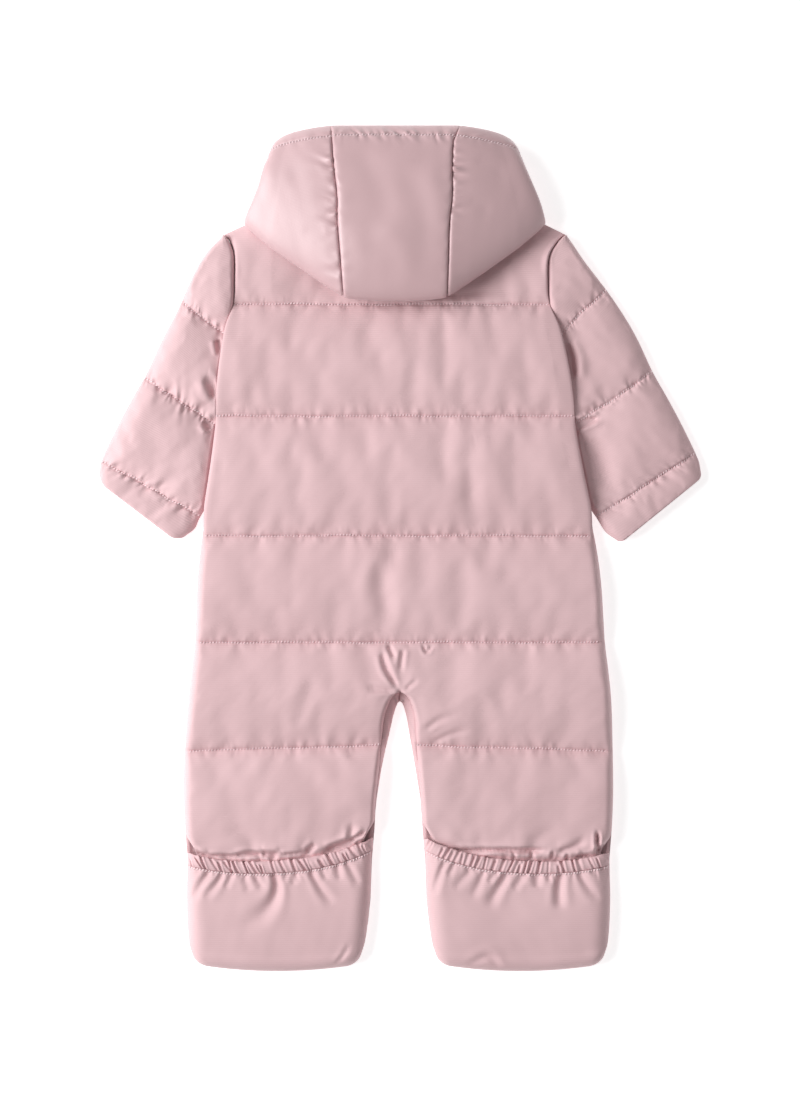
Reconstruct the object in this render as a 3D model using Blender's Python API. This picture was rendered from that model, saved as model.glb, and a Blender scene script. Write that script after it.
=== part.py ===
"""A quilted baby snowsuit, laid out flat and face down, so that its back is up.

Y runs from the feet to the hood, X to the suit's own right side as it lies, and Z up from the
surface it lies on. Every size below is in millimetres; the meshes are made in metres. Each piece of
cloth is one closed wall: a sheet of outer points, the same sheet of inner points, and a rim that
joins them along the sheet's edges.
"""

import math
from collections import namedtuple

import bpy
from mathutils import Vector

MM = 0.001

# Cloth and seams
SEAM_GAP = 0.3  # between the edges of two pieces that are sewn together
SEAM_Z = 7.0  # height of the side seams, where the back meets the front
EDGE_WALL = 3.0  # thickness of a closed seam's lip
FRONT_WALL = 5.0  # thickness of the front, pressed flat on the surface
BACK_INNER_Z = 8.5  # plain inside of the back
ARMHOLE_Z = 12.5  # outer height of the open armhole edges
STITCH_Z = 14.0  # outer height along a quilting line
CROWN_Z = 23.5  # outer height in the middle of a quilted channel
EDGE_ROUND = 20.0  # distance over which a channel rounds down to its seam
INNER_ROUND = 6.0  # the same on the inside of the trunk
SMALL_INNER_ROUND = 5.0  # and on the inside of sleeves and foot covers
LIP_SLOPE = 0.55  # how fast an inner point follows its outer point away from a seam

# Back, from the neck to the leg hems
QUILT_LINES = (204.6, 111.6, 12.0, -76.8, -164.8)
LEG_LINE_TILT = 2.5  # the last line is this much higher at the inseam, and lower at the side
CHANNEL_SHARES = (0.0, 0.08, 0.3, 0.5, 0.7, 0.92)
SEAT_LAST_SHARES = (0.92, 1.0)
CROTCH_Y = -118.3
NECK_CROWN_Z = 15.0
SHOULDER_CROWN_Z = 19.5
SHOULDER_BLEND_X = (60.0, 100.0)  # from the neck's crown to the shoulder's
NECK_EDGE_Z = 11.5
YOKE_FIRST_PUFF = 0.1  # share of a channel's curve where the yoke starts
SLEEVE_FIRST_PUFF = 0.12  # and where the sleeve starts

# x, back neck and shoulder line y, front neck and shoulder line y
NECKLINE = [
    (0.0, 278.0, 249.0),
    (20.0, 279.0, 252.5),
    (41.0, 282.0, 263.0),
    (62.0, 288.0, 288.0),
    (90.0, 281.5, 281.5),
    (124.5, 271.8, 271.8),
    (142.5, 263.2, 263.2),
]

# y, half width at the armhole and side seam
SIDE = [
    (263.2, 142.5),
    (258.2, 137.6),
    (245.6, 131.2),
    (222.2, 130.4),
    (204.6, 131.6),
    (176.7, 138.4),
    (139.5, 144.6),
    (103.6, 147.3),
    (71.0, 151.9),
    (37.0, 158.2),
    (12.0, 163.5),
    (-13.0, 167.2),
    (-38.0, 169.3),
    (-76.0, 171.0),
    (-100.0, 173.9),
    (-125.0, 176.4),
    (-166.0, 177.6),
    (-205.0, 178.0),
    (-241.0, 176.4),
    (-258.0, 174.9),
    (-291.0, 175.5),
    (-324.0, 173.9),
    (-335.0, 171.0),
]

# y, share of the armhole that stands open between back and front
ARMHOLE = [(263.2, 0.0), (258.2, 0.45), (247.0, 1.0), (120.0, 1.0), (111.6, 0.6), (103.6, 0.0)]

# Columns of the trunk and legs: shares of the way to the side margin, distances from the edges
TRUNK_SHARES = (0.0, 0.17, 0.34, 0.515, 0.68, 0.84, 1.0)
SIDE_MARGIN = 22.0
EDGE_INSETS = (0.0, 2.5, 7.0, 14.0)
LEG_SHARES = (0.25, 0.5, 0.75)
CROTCH_REACH = 45.0  # how far above the crotch the columns begin to close in on it

# Crotch and inseams: y at the side seam, back seam x, back seam y, leg edge x, leg edge y, seam z
CROTCH_ROWS = [
    (-118.3, 0.0, -118.3, 0.0, -126.2, 12.0),
    (-124.0, 4.8, -121.2, 1.9, -127.8, 12.0),
    (-130.0, 8.3, -126.8, 3.4, -131.5, 12.0),
    (-139.5, 11.8, -138.5, 5.5, -139.5, 12.0),
]

# y, leg edge x on the inseam side, distance from it to the back's seam, seam z
INSEAM = [
    (-139.5, 5.5, 6.3, 12.0),
    (-157.0, 8.2, 4.8, 11.0),
    (-183.0, 12.5, 2.4, 9.0),
    (-208.0, 16.2, 1.2, 7.6),
    (-233.0, 18.7, 0.0, 7.0),
    (-258.0, 20.8, 0.0, 7.0),
    (-291.0, 22.0, 0.0, 7.0),
    (-308.0, 23.7, 0.0, 7.0),
    (-324.0, 26.1, 0.0, 7.0),
    (-335.0, 29.5, 0.0, 7.0),
]

WRAP_SEAM_Z = 10.0  # seams higher than this have the front wrapped round the inseam
LEVEL_LIP = 7.5  # and the back's inside stays level this far in from them
INSEAM_INNER_ROUND = 9.0
WRAP_REACH = 6.3  # distance from a leg's edge to the back's seam where the wrap is full
# with no wrap and with a full one: outer distance from the leg's edge, its height,
# inner distance, its height
WRAP_STEPS = [
    ((0.8, 3.0, 4.2, 6.1), (0.0, 6.5, 4.2, 7.5)),
    ((3.5, 1.3, 6.0, 5.3), (2.2, 1.2, 5.5, 5.6)),
    ((9.0, 0.0, 10.0, 5.0), (9.0, 0.0, 10.0, 5.0)),
]

# Shins: share of the way from the leg line to the band, crown z,
# distance of the edges from the leg's outline
SHIN = [
    (0.08, 18.5, 0.0),
    (0.3, 22.0, 0.0),
    (0.55, 22.5, 0.0),
    (0.8, 20.0, 0.0),
    (1.0, 13.4, 7.5),
]
# Leg hems under the bands: distance under the band, crown z, distance of the edges from the leg's outline
LEG_HEM = [
    (9.0, 11.4, 8.5),
    (24.0, 11.0, 8.5),
]
HEM_SIDE_Y = -250.0

# Front: y of its rows below the underarm and above the crotch, then down the leg
FRONT_ROWS = (71.0, 37.0, 12.0, -13.0, -38.0, -75.0, -85.0, -103.0)
LEG_ROWS = (-157.0, -183.0, -208.0, -233.0, -258.0, -291.0, -310.0, -324.0)
FRONT_INSETS = (0.0, 0.8, 3.5, 9.0)
FRONT_ROUND = 9.0
FRONT_SHARES = (0.0, 0.12, 0.28, 0.4436, 0.72, 1.0)
WRAP_COLUMNS = 3
FRONT_CLOSED_Y = -85.0  # below this the two halves meet without a zip

# Foot flaps: x, y of the band's elastic edge, y of its stitched edge
BAND = [
    (19.0, -239.5, -249.5),
    (45.0, -249.0, -259.5),
    (74.0, -255.7, -266.0),
    (109.0, -258.8, -268.8),
    (141.0, -258.3, -267.8),
    (176.0, -252.0, -262.5),
]
BAND_ENDS_Y = (-246.0, -257.0)  # where a band meets the inseam and the side
BAND_MIDDLE_Y = -262.0
BAND_RUFFLES = 28
RUFFLE_STEPS = 4
RUFFLE_RISE = 0.9
RUFFLE_SWAY = 0.6
# share across the band, outer height over the flap's top, inner z
BAND_ROWS = [(0.0, -0.8, 13.9), (0.45, 1.4, 13.4), (1.0, -0.4, 12.6)]
FOOT_CORNER_Y = -335.0
FOOT_DEPTH = 16.5
FOOT_CORNER_ROUND = 30.0
FLAP_TOP_Z = 17.6
FLAP_CROWN_Z = 21.5
FLAP_FOLD_RISE = 0.8
# share of the way from the band to the foot's end, crown z, inner z
FLAP_ROWS = [
    (0.0, FLAP_TOP_Z, 12.2),
    (0.12, 19.2, 12.2),
    (0.3, 20.6, 10.2),
    (0.55, FLAP_CROWN_Z, 9.0),
    (0.8, 20.8, 8.8),
    (1.0, 19.0, 8.7),
]
FLAP_END = 14.0  # the last rows keep a distance from the foot's end
FLAP_END_GAPS = (7.0, 2.5, 0.0)
FLAP_EDGE_INSETS = (0.0, 2.5, 6.0, 11.0)
FLAP_FOLDS = 20
FLAP_ROUND = 16.0

# Sleeves: y, half width at the sleeve's outer fold
SLEEVE_FOLD = [
    (262.6, 143.4),
    (248.6, 154.8),
    (224.0, 171.0),
    (199.0, 185.5),
    (174.0, 199.2),
    (149.0, 210.8),
    (124.0, 224.9),
    (99.0, 238.0),
    (74.0, 249.4),
    (62.7, 252.7),
]
# y, half width at the sleeve's inner seam
SLEEVE_SEAM = [
    (103.6, 148.2),
    (71.0, 153.3),
    (37.0, 159.8),
    (27.0, 165.5),
    (12.0, 175.0),
    (7.9, 182.6),
]
# line, its y on the fold, its y on the inner seam
SLEEVE_LINES = {"yoke": (212.0, 176.7), "elbow": (146.1, 103.6), "hem": (78.0, 27.0), "cuff": (62.7, 7.9)}
ARMHOLE_GAP = 0.39  # between the sleeve and the body, sideways
SLEEVE_CROWN_Z = 21.0
SLEEVE_HEM_Z = 15.0
SLEEVE_ROUND_SHARE = 0.45  # of a section's width, at most, for each rounded edge
# Ring of a sleeve, from its inner seam over the top to the fold, then back underneath
SLEEVE_SHARES = (0.0, 0.05, 0.14, 0.3, 0.5, 0.7, 0.86, 0.95, 1.0)
SLEEVE_UNDER_SHARES = (0.97, 0.88, 0.6, 0.3, 0.1, 0.03, 0.0)

# Hood, a row for each line from the neck to the face edge, from the centre seam round to the chin:
# neck x, y, z; height of the under layer; fold x, y, z; peak z; face edge x, y, z
HOOD_LINES = [
    (56.0, 283.0, 14.8, 22.5, 46.5, 209.5, 32.0, 47.0, 56.0, 351.4, 26.0),
    (61.0, 286.5, 14.4, 23.5, 72.0, 229.0, 29.0, 43.0, 70.0, 350.2, 24.5),
    (65.0, 291.0, 11.5, 22.0, 104.0, 252.0, 25.0, 37.0, 84.0, 346.7, 21.5),
    (66.0, 292.5, 8.0, 14.0, 124.3, 271.5, 18.0, 31.0, 94.0, 342.5, 17.5),
    (65.0, 293.0, 4.0, 5.0, 118.5, 296.0, 11.0, 13.5, 101.0, 337.5, 12.0),
    (58.3, 285.4, 0.6, 0.2, 90.0, 306.0, 0.4, 1.0, 92.0, 322.0, 3.0),
    (40.4, 264.9, 0.0, 0.0, 50.0, 288.0, 0.0, 0.0, 60.0, 302.0, 0.4),
    (20.4, 253.3, 0.0, 0.0, 30.0, 264.0, 0.0, 0.0, 38.0, 274.0, 0.0),
    (8.0, 251.0, 0.0, 0.0, 8.6, 254.5, 0.0, 0.0, 9.0, 258.0, 0.0),
]
HOOD_SIDE_COLUMNS = (0.0, 0.5, 1.0, 1.5, 2.0, 2.5, 3.0, 3.5, 4.0, 4.5, 5.0, 6.0, 7.0, 8.0)
HOOD_WALL = 3.0
HOOD_LINING_Z = 0.3  # the inside's least height over the surface
# under the fold: share of the way from the neck, share of the rise from the neck's height to the
# under layer's, share of the rise from there to the fold's
HOOD_UNDER = [
    (0.0, 0.0, 0.0),
    (0.22, 0.65, 0.0),
    (0.5, 1.0, 0.0),
    (0.8, 1.0, 0.15),
    (0.93, 1.0, 0.5),
    (1.0, 1.0, 1.0),
]
HOOD_BOW_POWER = 0.6
HOOD_TOP_SHARES = (0.04, 0.12, 0.26, 0.44, 0.64, 0.82, 0.93, 1.0)
HOOD_CENTRE_SHARES = (-1.0, -0.7, -0.35, 0.0, 0.35, 0.7, 1.0)
HOOD_CENTRE_RISE = 2.5

# Zip, down the centre of the front
ZIP_HALF_GAP = 5.0
ZIP_TOP_Y = 243.0
ZIP_END_Y = -75.0
TAPE_TOP = 5.0  # how far the tapes go on over the slider
TAPE = (1.7, 14.0, 5.3, 6.1)  # nearest x, farthest x, lowest z, highest z
CHAIN_HALF_WIDTH = 3.0
CHAIN_Z = (3.6, 5.0)
SLIDER_HALF_WIDTH = 4.0
SLIDER_LENGTH = 9.0
SLIDER_PLATE_Z = (2.7, 3.3)
SLIDER_BACK_Z = (6.4, 7.1)
SLIDER_POST_HALF = 1.2
EAR_X = (2.6, 3.4)
EAR_HALF_LENGTH = 1.6
EAR_BOTTOM_Z = 0.7
METAL_BEVEL = 0.12
PULL_AXIS = (0.0, 241.0, 1.5)
PULL_HALF_WIDTH = 2.2
PULL_HALF_THICKNESS = 0.6
PULL_LENGTH = 22.0

# Colours, as linear red, green and blue
SHELL_COLOUR = (0.72, 0.49, 0.52)
HOOD_COLOUR = (0.69, 0.46, 0.49)
TAPE_COLOUR = (0.66, 0.43, 0.46)
CHAIN_COLOUR = (0.62, 0.40, 0.43)
METAL_COLOUR = (0.70, 0.66, 0.66)


def smooth_at(table, key, column=1):
    """Value of a column at a key, on a smooth curve through the table's rows."""
    rows = sorted(table)
    keys = [row[0] for row in rows]
    values = [row[column] for row in rows]
    if key <= keys[0]:
        return values[0]
    if key >= keys[-1]:
        return values[-1]
    index = max(i for i, k in enumerate(keys[:-1]) if k <= key)

    def slope(i):
        low = max(i - 1, 0)
        high = min(i + 1, len(keys) - 1)
        return (values[high] - values[low]) / (keys[high] - keys[low])

    span = keys[index + 1] - keys[index]
    t = (key - keys[index]) / span
    start = (2 * t**3 - 3 * t**2 + 1) * values[index] + (t**3 - 2 * t**2 + t) * span * slope(index)
    end = (3 * t**2 - 2 * t**3) * values[index + 1] + (t**3 - t**2) * span * slope(index + 1)
    return start + end


def straight_at(table, key, column=1):
    """Value of a column at a key, on straight lines through the table's rows."""
    rows = sorted(table)
    if key <= rows[0][0]:
        return rows[0][column]
    for low, high in zip(rows, rows[1:]):
        if key <= high[0]:
            return mix(low[column], high[column], (key - low[0]) / (high[0] - low[0]))
    return rows[-1][column]


def mix(a, b, share):
    return a + (b - a) * share


def round_rise(distance, radius=EDGE_ROUND):
    """0 at an edge, rising along a quarter ellipse to 1 at the radius."""
    t = min(max(distance / radius, 0.0), 1.0)
    return math.sqrt(1.0 - (1.0 - t) ** 2)


def puff(share):
    """Height of a stuffed channel between its two stitch lines, from 0 to 1."""
    return math.sqrt(math.sin(math.pi * share)) if 0.0 < share < 1.0 else 0.0


def cloth_material(name, colour, roughness, metallic=0.0):
    material = bpy.data.materials.new(name)
    material.use_nodes = True
    shader = material.node_tree.nodes["Principled BSDF"]
    shader.inputs["Base Color"].default_value = (*colour, 1.0)
    shader.inputs["Roughness"].default_value = roughness
    shader.inputs["Metallic"].default_value = metallic
    return material


def mesh_object(name, points, faces, colour, roughness=0.8, metallic=0.0):
    """Object from points in millimetres, smooth shaded."""
    mesh = bpy.data.meshes.new(name)
    mesh.from_pydata([Vector(p) * MM for p in points], [], faces)
    mesh.materials.append(cloth_material(name, colour, roughness, metallic))
    mesh.shade_smooth()
    mesh.set_sharp_from_angle(angle=math.radians(50))
    placed = bpy.data.objects.new(name, mesh)
    bpy.context.scene.collection.objects.link(placed)
    return placed


def rim_edges(faces):
    """Edges that only one face has, each in its face's own direction."""
    seen = {}
    for face in faces:
        for a, b in zip(face, face[1:] + face[:1]):
            seen[(a, b)] = True
    return [edge for edge in seen if (edge[1], edge[0]) not in seen]


def wall_object(name, faces, outer, inner, colour):
    """Closed wall between a sheet of outer points and the same sheet of inner points."""
    used = sorted({i for face in faces for i in face})
    place = {old: new for new, old in enumerate(used)}
    count = len(used)
    points = [outer[i] for i in used] + [inner[i] for i in used]
    sheet = [tuple(place[i] for i in face) for face in faces]
    lining = [tuple(i + count for i in reversed(face)) for face in sheet]
    rim = [(b, a, a + count, b + count) for a, b in rim_edges([list(f) for f in sheet])]
    return mesh_object(name, points, sheet + lining + rim, colour)


def mirrored(points):
    return [(-x, y, z) for x, y, z in points]


def flipped(faces):
    return [tuple(reversed(face)) for face in faces]


def grid_faces(rows, columns):
    """Quads of a grid whose point (row, column) is number row * columns + column."""
    return [
        (r * columns + c, (r + 1) * columns + c, (r + 1) * columns + c + 1, r * columns + c + 1)
        for r in range(rows - 1)
        for c in range(columns - 1)
    ]


def inward(faces, outer, distance, flat_x=()):
    """Outer points moved in along their normals; those listed in flat_x stay at their own x."""
    normals = [Vector() for _ in outer]
    for face in faces:
        a, b, c, d = (Vector(outer[i]) for i in face)
        normal = (c - a).cross(d - b)
        for i in face:
            normals[i] += normal
    moved = []
    for i, (point, normal) in enumerate(zip(outer, normals)):
        if i in flat_x:
            normal.x = 0.0
        moved.append(tuple(Vector(point) - normal.normalized() * distance))
    return moved


def band_line(x, column):
    return smooth_at(BAND, x, column)


# One crosswise row of the back. In the yoke and on the shins "at" is a share of the way down the
# channel, under the band a distance from it, elsewhere the row's y at the side; seam is the back's
# inner edge (x, y, z) below the crotch.
Row = namedtuple("Row", "kind at seam crown side_inset")

# One section of a sleeve: (x, y) of its inner seam and of its fold, its crown and how far its
# seam stands open.
Station = namedtuple("Station", "seam fold crown openness")


def channel_crown(share, crown):
    return mix(STITCH_Z, crown, puff(share))


def trunk_rows():
    """Rows from the neck to the last quilting line; the first channel starts on the neckline."""
    rows = [Row("yoke", share, None, None, 0.0) for share in CHANNEL_SHARES]
    for top, bottom in zip(QUILT_LINES[:3], QUILT_LINES[1:4]):
        for share in CHANNEL_SHARES:
            rows.append(Row("body", mix(top, bottom, share), None, channel_crown(share, CROWN_Z), 0.0))
    return rows


def inseam_at(y):
    """The back's seam (x, y, z) and the leg's edge (x, y) on the inseam."""
    edge = smooth_at(INSEAM, y, 1)
    return (edge + smooth_at(INSEAM, y, 2), y, smooth_at(INSEAM, y, 3)), (edge, y)


def seat_rows():
    """Rows of the channel that the crotch divides, from the last trunk line to the leg line."""
    top, bottom = QUILT_LINES[3:5]
    rows = []
    for share in CHANNEL_SHARES[:3]:
        rows.append(Row("body", mix(top, bottom, share), None, channel_crown(share, CROWN_Z), 0.0))
    for side_y, seam_x, seam_y, edge_x, edge_y, seam_z in CROTCH_ROWS:
        crown = channel_crown((side_y - top) / (bottom - top), CROWN_Z)
        rows.append(Row("body", side_y, (seam_x, seam_y, seam_z), crown, 0.0))
    for share in SEAT_LAST_SHARES:
        y = mix(top, bottom, share)
        seam, _ = inseam_at(y + LEG_LINE_TILT)
        rows.append(Row("body", y - LEG_LINE_TILT, seam, channel_crown(share, CROWN_Z), 0.0))
    return rows


def lip(distance, openness=0.0):
    """Distance of an inner point from the edge, for an outer point at the given distance from it."""
    closed = max(distance, EDGE_WALL + LIP_SLOPE * distance)
    return mix(closed, distance, openness)


def trunk_columns(side):
    inner = [share * (side - SIDE_MARGIN) for share in TRUNK_SHARES]
    return inner + [side - inset for inset in reversed(EDGE_INSETS)]


def leg_columns(seam_x, side):
    first = seam_x + EDGE_INSETS[-1]
    last = side - EDGE_INSETS[-1]
    middle = [mix(first, last, share) for share in LEG_SHARES]
    return [seam_x + d for d in EDGE_INSETS] + middle + [side - d for d in reversed(EDGE_INSETS)]


def columns_at(y, seam_x, side):
    """Column places across half the suit: trunk spacing above, leg spacing from the crotch down."""
    blend = min(max((CROTCH_Y + CROTCH_REACH - y) / CROTCH_REACH, 0.0), 1.0)
    pairs = zip(trunk_columns(side), leg_columns(seam_x, side))
    return [mix(trunk, leg, blend) for trunk, leg in pairs]


def back_rows():
    rows = trunk_rows() + seat_rows()
    rows += [Row("shin", share, None, crown, inset) for share, crown, inset in SHIN]
    rows += [Row("hem", drop, None, crown, inset) for drop, crown, inset in LEG_HEM]
    return rows


def shin_y(row, x, across):
    """y of a shin or hem row, which runs along the foot band."""
    band_y = band_line(x, 1)
    if row.kind == "hem":
        return band_y - row.at
    leg_line = QUILT_LINES[4] + mix(LEG_LINE_TILT, -LEG_LINE_TILT, across)
    return mix(leg_line, band_y, row.at)


def shoulder_top(x, side, column=1):
    """y of the neck and shoulder line over a point of the yoke, whose columns draw in with its side."""
    return straight_at(NECKLINE, x * NECKLINE[-1][0] / side, column)


def back_point(row, column):
    """Outer and inner point of the back, at a column of a row."""
    last = len(EDGE_INSETS) + len(TRUNK_SHARES) - 1
    across = column / last
    seam = row.seam
    side_y = row.at
    if row.kind == "yoke":
        side_y = mix(NECKLINE[-1][1], QUILT_LINES[0], row.at)
    elif row.kind != "body":
        side_y = shin_y(row, smooth_at(SIDE, HEM_SIDE_Y), 1.0)
        seam, _ = inseam_at(shin_y(row, BAND[0][0], 0.0))
        seam = (seam[0] + row.side_inset, seam[1], seam[2])
    side = smooth_at(SIDE, side_y) - row.side_inset
    seam_x = seam[0] if seam else 0.0
    x = columns_at(side_y, seam_x, side)[column]
    open_side = straight_at(ARMHOLE, side_y)
    crown = row.crown
    if row.kind == "yoke":
        top_y = shoulder_top(x, side)
        y = mix(top_y, QUILT_LINES[0], row.at)
        low_x, high_x = SHOULDER_BLEND_X
        peak = mix(NECK_CROWN_Z, SHOULDER_CROWN_Z, min(max((x - low_x) / (high_x - low_x), 0.0), 1.0))
        crown = mix(mix(NECK_CROWN_Z, STITCH_Z, row.at), peak, puff(mix(YOKE_FIRST_PUFF, 1.0, row.at)))
    elif row.kind == "body":
        y = mix(seam[1] if seam else row.at, row.at, across)
    else:
        y = shin_y(row, x, across)
    inner_z = BACK_INNER_Z
    inner_x = x
    inner_y = y
    lip_z = SEAM_Z + SEAM_GAP / 2
    # side seam or armhole
    inset = side - x
    edge_z = mix(lip_z, ARMHOLE_Z, open_side)
    outer_z = edge_z + (crown - edge_z) * round_rise(inset)
    if inset < EDGE_INSETS[-1]:
        depth = lip(inset, open_side)
        inner_x = side - depth
        low_z = mix(lip_z, BACK_INNER_Z, open_side)
        inner_z = low_z + (inner_z - low_z) * round_rise(depth - EDGE_WALL, INNER_ROUND)
    if row.kind == "yoke":
        drop = top_y - y
        shoulder = x * NECKLINE[-1][0] / side >= NECKLINE[3][0] - 1.0
        top_z = lip_z if shoulder else NECK_EDGE_Z
        outer_z = top_z + (outer_z - top_z) * round_rise(drop)
        if shoulder and drop < EDGE_INSETS[-1]:
            depth = lip(drop)
            inner_y = top_y - depth
            inner_z = lip_z + (inner_z - lip_z) * round_rise(depth - EDGE_WALL, INNER_ROUND)
    if seam:
        edge_z = seam[2] + SEAM_GAP / 2
        inset = x - seam_x
        outer_z = edge_z + (outer_z - edge_z) * round_rise(inset)
        if inset < EDGE_INSETS[-1]:
            depth = lip(inset)
            inner_x = seam_x + depth
            level = EDGE_WALL if seam[2] < WRAP_SEAM_Z else LEVEL_LIP
            inner_z = edge_z + (inner_z - edge_z) * round_rise(depth - level, INSEAM_INNER_ROUND)
        if seam_x == 0.0 and column == 0:
            inner_x = 0.0
            inner_y = y + EDGE_WALL
    elif row.kind == "body" and y > CROTCH_Y:
        edge_z = CROTCH_ROWS[0][5]
        outer_z = edge_z + (outer_z - edge_z) * round_rise(math.hypot(x, y - CROTCH_Y))
    return (x, y, outer_z), (inner_x, inner_y, inner_z)


def make_back():
    rows = back_rows()
    columns = len(TRUNK_SHARES) + len(EDGE_INSETS)
    apex = next(i for i, row in enumerate(rows) if row.seam)
    outer = []
    inner = []
    for row in rows:
        for column in range(columns):
            out_point, in_point = back_point(row, column)
            outer.append(out_point)
            inner.append(in_point)
    count = len(outer)
    faces = grid_faces(len(rows), columns)

    def left(index):
        row, column = divmod(index, columns)
        return index if column == 0 and row <= apex else index + count

    faces += [tuple(left(i) for i in face) for face in flipped(faces)]
    wall_object("back", faces, outer + mirrored(outer), inner + mirrored(inner), SHELL_COLOUR)


def foot_bottom(x, inner, outer):
    """y of the foot's end, rounded at both corners."""
    distance = min(x - inner, outer - x)
    return FOOT_CORNER_Y - FOOT_DEPTH * round_rise(distance, FOOT_CORNER_ROUND)


def front_heights(out_rise, in_rise, openness=0.0):
    """Outer and inner height of the front, for how far its edges have rounded down to the surface."""
    lip_z = SEAM_Z - SEAM_GAP / 2
    outer_z = lip_z * (1.0 - out_rise) * (1.0 - openness)
    inner_z = FRONT_WALL + (lip_z - FRONT_WALL) * (1.0 - in_rise) * (1.0 - openness)
    return outer_z, inner_z


def zip_edge(y):
    """Half width of the zip's opening at y."""
    return straight_at([(ZIP_END_Y, ZIP_HALF_GAP), (FRONT_CLOSED_Y, SEAM_GAP / 2)], y)


def front_main_points(first, side_y, in_yoke, share):
    """Points from the front's inner edge to its side: first is the (x, y) of the column beside the wrap."""
    side = smooth_at(SIDE, side_y)
    open_side = straight_at(ARMHOLE, side_y)
    last = side - FRONT_INSETS[-1]
    places = [mix(first[0], last, s) for s in FRONT_SHARES]
    places += [side - inset for inset in FRONT_INSETS[2::-1]]
    outer = []
    inner = []
    for x in places:
        inset = side - x
        depth = lip(inset, open_side) if inset < FRONT_INSETS[-1] + 0.1 else inset
        y = mix(first[1], side_y, (x - first[0]) / (side - first[0]))
        inner_y = y
        out_rise = round_rise(inset, FRONT_ROUND)
        in_rise = round_rise(depth - EDGE_WALL, INNER_ROUND)
        outer_z, inner_z = front_heights(out_rise, in_rise, open_side)
        if in_yoke:
            top_y = shoulder_top(x, side, 2)
            y = mix(top_y, QUILT_LINES[0], share)
            inner_y = y
            if x * NECKLINE[-1][0] / side >= NECKLINE[3][0] - 0.5:
                drop = top_y - y
                drop_lip = lip(drop)
                inner_y = top_y - drop_lip
                top_rise = round_rise(drop_lip - EDGE_WALL, INNER_ROUND)
                top_out, top_in = front_heights(round_rise(drop, FRONT_ROUND), top_rise)
                outer_z = max(outer_z, top_out)
                inner_z = max(inner_z, top_in)
        outer.append((x, y, outer_z))
        inner.append((side - depth, inner_y, inner_z))
    return outer, inner


def wrap_points(seam, edge):
    """The three columns that wrap round the inseam up to the back's seam, and the first flat one."""
    away = Vector((seam[0] - edge[0], seam[1] - edge[1]))
    wrap = min(away.length / WRAP_REACH, 1.0)
    away = away.normalized() if away.length > 1.0 else Vector((1.0, 0.0))
    lip_z = seam[2] - SEAM_GAP / 2
    centre = SEAM_GAP / 2
    outer = [(max(seam[0], centre), seam[1], lip_z)]
    inner = [(max(seam[0] + EDGE_WALL * away.x, centre), seam[1] + EDGE_WALL * away.y, lip_z)]
    for flat, full in WRAP_STEPS:
        out_in, out_z, in_in, in_z = (mix(a, b, wrap) for a, b in zip(flat, full))
        outer.append((max(edge[0] + out_in * away.x, centre), edge[1] + out_in * away.y, out_z))
        inner.append((max(edge[0] + in_in * away.x, centre), edge[1] + in_in * away.y, in_z))
    return outer, inner


def front_rows():
    """Outer and inner points of every row of the right front; the first wrap row's number."""
    rows = []
    for share in CHANNEL_SHARES:
        side_y = mix(NECKLINE[-1][1], QUILT_LINES[0], share)
        rows.append(front_main_points((ZIP_HALF_GAP, side_y), side_y, True, share))
    ys = [mix(QUILT_LINES[0], QUILT_LINES[1], share) for share in CHANNEL_SHARES]
    ys += [mix(QUILT_LINES[1], QUILT_LINES[2], share) for share in CHANNEL_SHARES[:2]]
    for y in ys + list(FRONT_ROWS):
        rows.append(front_main_points((zip_edge(y), y), y, False, 0.0))
    blank = [(0.0, 0.0, 0.0)] * WRAP_COLUMNS
    rows = [(blank + outer, blank + inner) for outer, inner in rows]
    crotch = len(rows)
    legs = [((sx, sy, sz), (ex, ey), side_y) for side_y, sx, sy, ex, ey, sz in CROTCH_ROWS]
    legs += [(*inseam_at(y), y) for y in LEG_ROWS]
    for seam, edge, side_y in legs:
        wrap_outer, wrap_inner = wrap_points(seam, edge)
        outer, inner = front_main_points(wrap_outer[-1][:2], side_y, False, 0.0)
        outer = wrap_outer + outer[1:]
        inner = wrap_inner + inner[1:]
        rows.append((outer, inner))
    rows += foot_end_rows(*rows[-1])
    return rows, crotch


def foot_ends(gap=0.0):
    """The leg's two edges at a distance over its rounded end."""
    y = FOOT_CORNER_Y + gap
    return smooth_at(INSEAM, y), smooth_at(SIDE, y)


def foot_end_rows(last_outer, last_inner):
    """Rows that follow the front round the end of the foot."""
    low_x, high_x = last_outer[0][0], last_outer[-1][0]
    corners = foot_ends()
    rows = []
    for gap in FRONT_INSETS[::-1]:
        ends = foot_ends(gap)
        gap_in = lip(gap)
        outer = []
        inner = []
        for old_out, old_in in zip(last_outer, last_inner):
            share = (old_out[0] - low_x) / (high_x - low_x)
            in_share = (old_in[0] - low_x) / (high_x - low_x)
            x, in_x = mix(*ends, share), mix(*ends, in_share)
            edge = min(x - ends[0], ends[1] - x)
            edge_in = min(in_x - ends[0], ends[1] - in_x)
            out_rise = round_rise(edge, FRONT_ROUND) * round_rise(gap, FRONT_ROUND)
            in_rise = round_rise(edge_in - EDGE_WALL, INNER_ROUND)
            in_rise *= round_rise(gap_in - EDGE_WALL, INNER_ROUND)
            outer_z, inner_z = front_heights(out_rise, in_rise)
            outer.append((x, foot_bottom(mix(*corners, share), *corners) + gap, outer_z))
            inner.append((in_x, foot_bottom(mix(*corners, in_share), *corners) + gap_in, inner_z))
        rows.append((outer, inner))
    return rows


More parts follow.
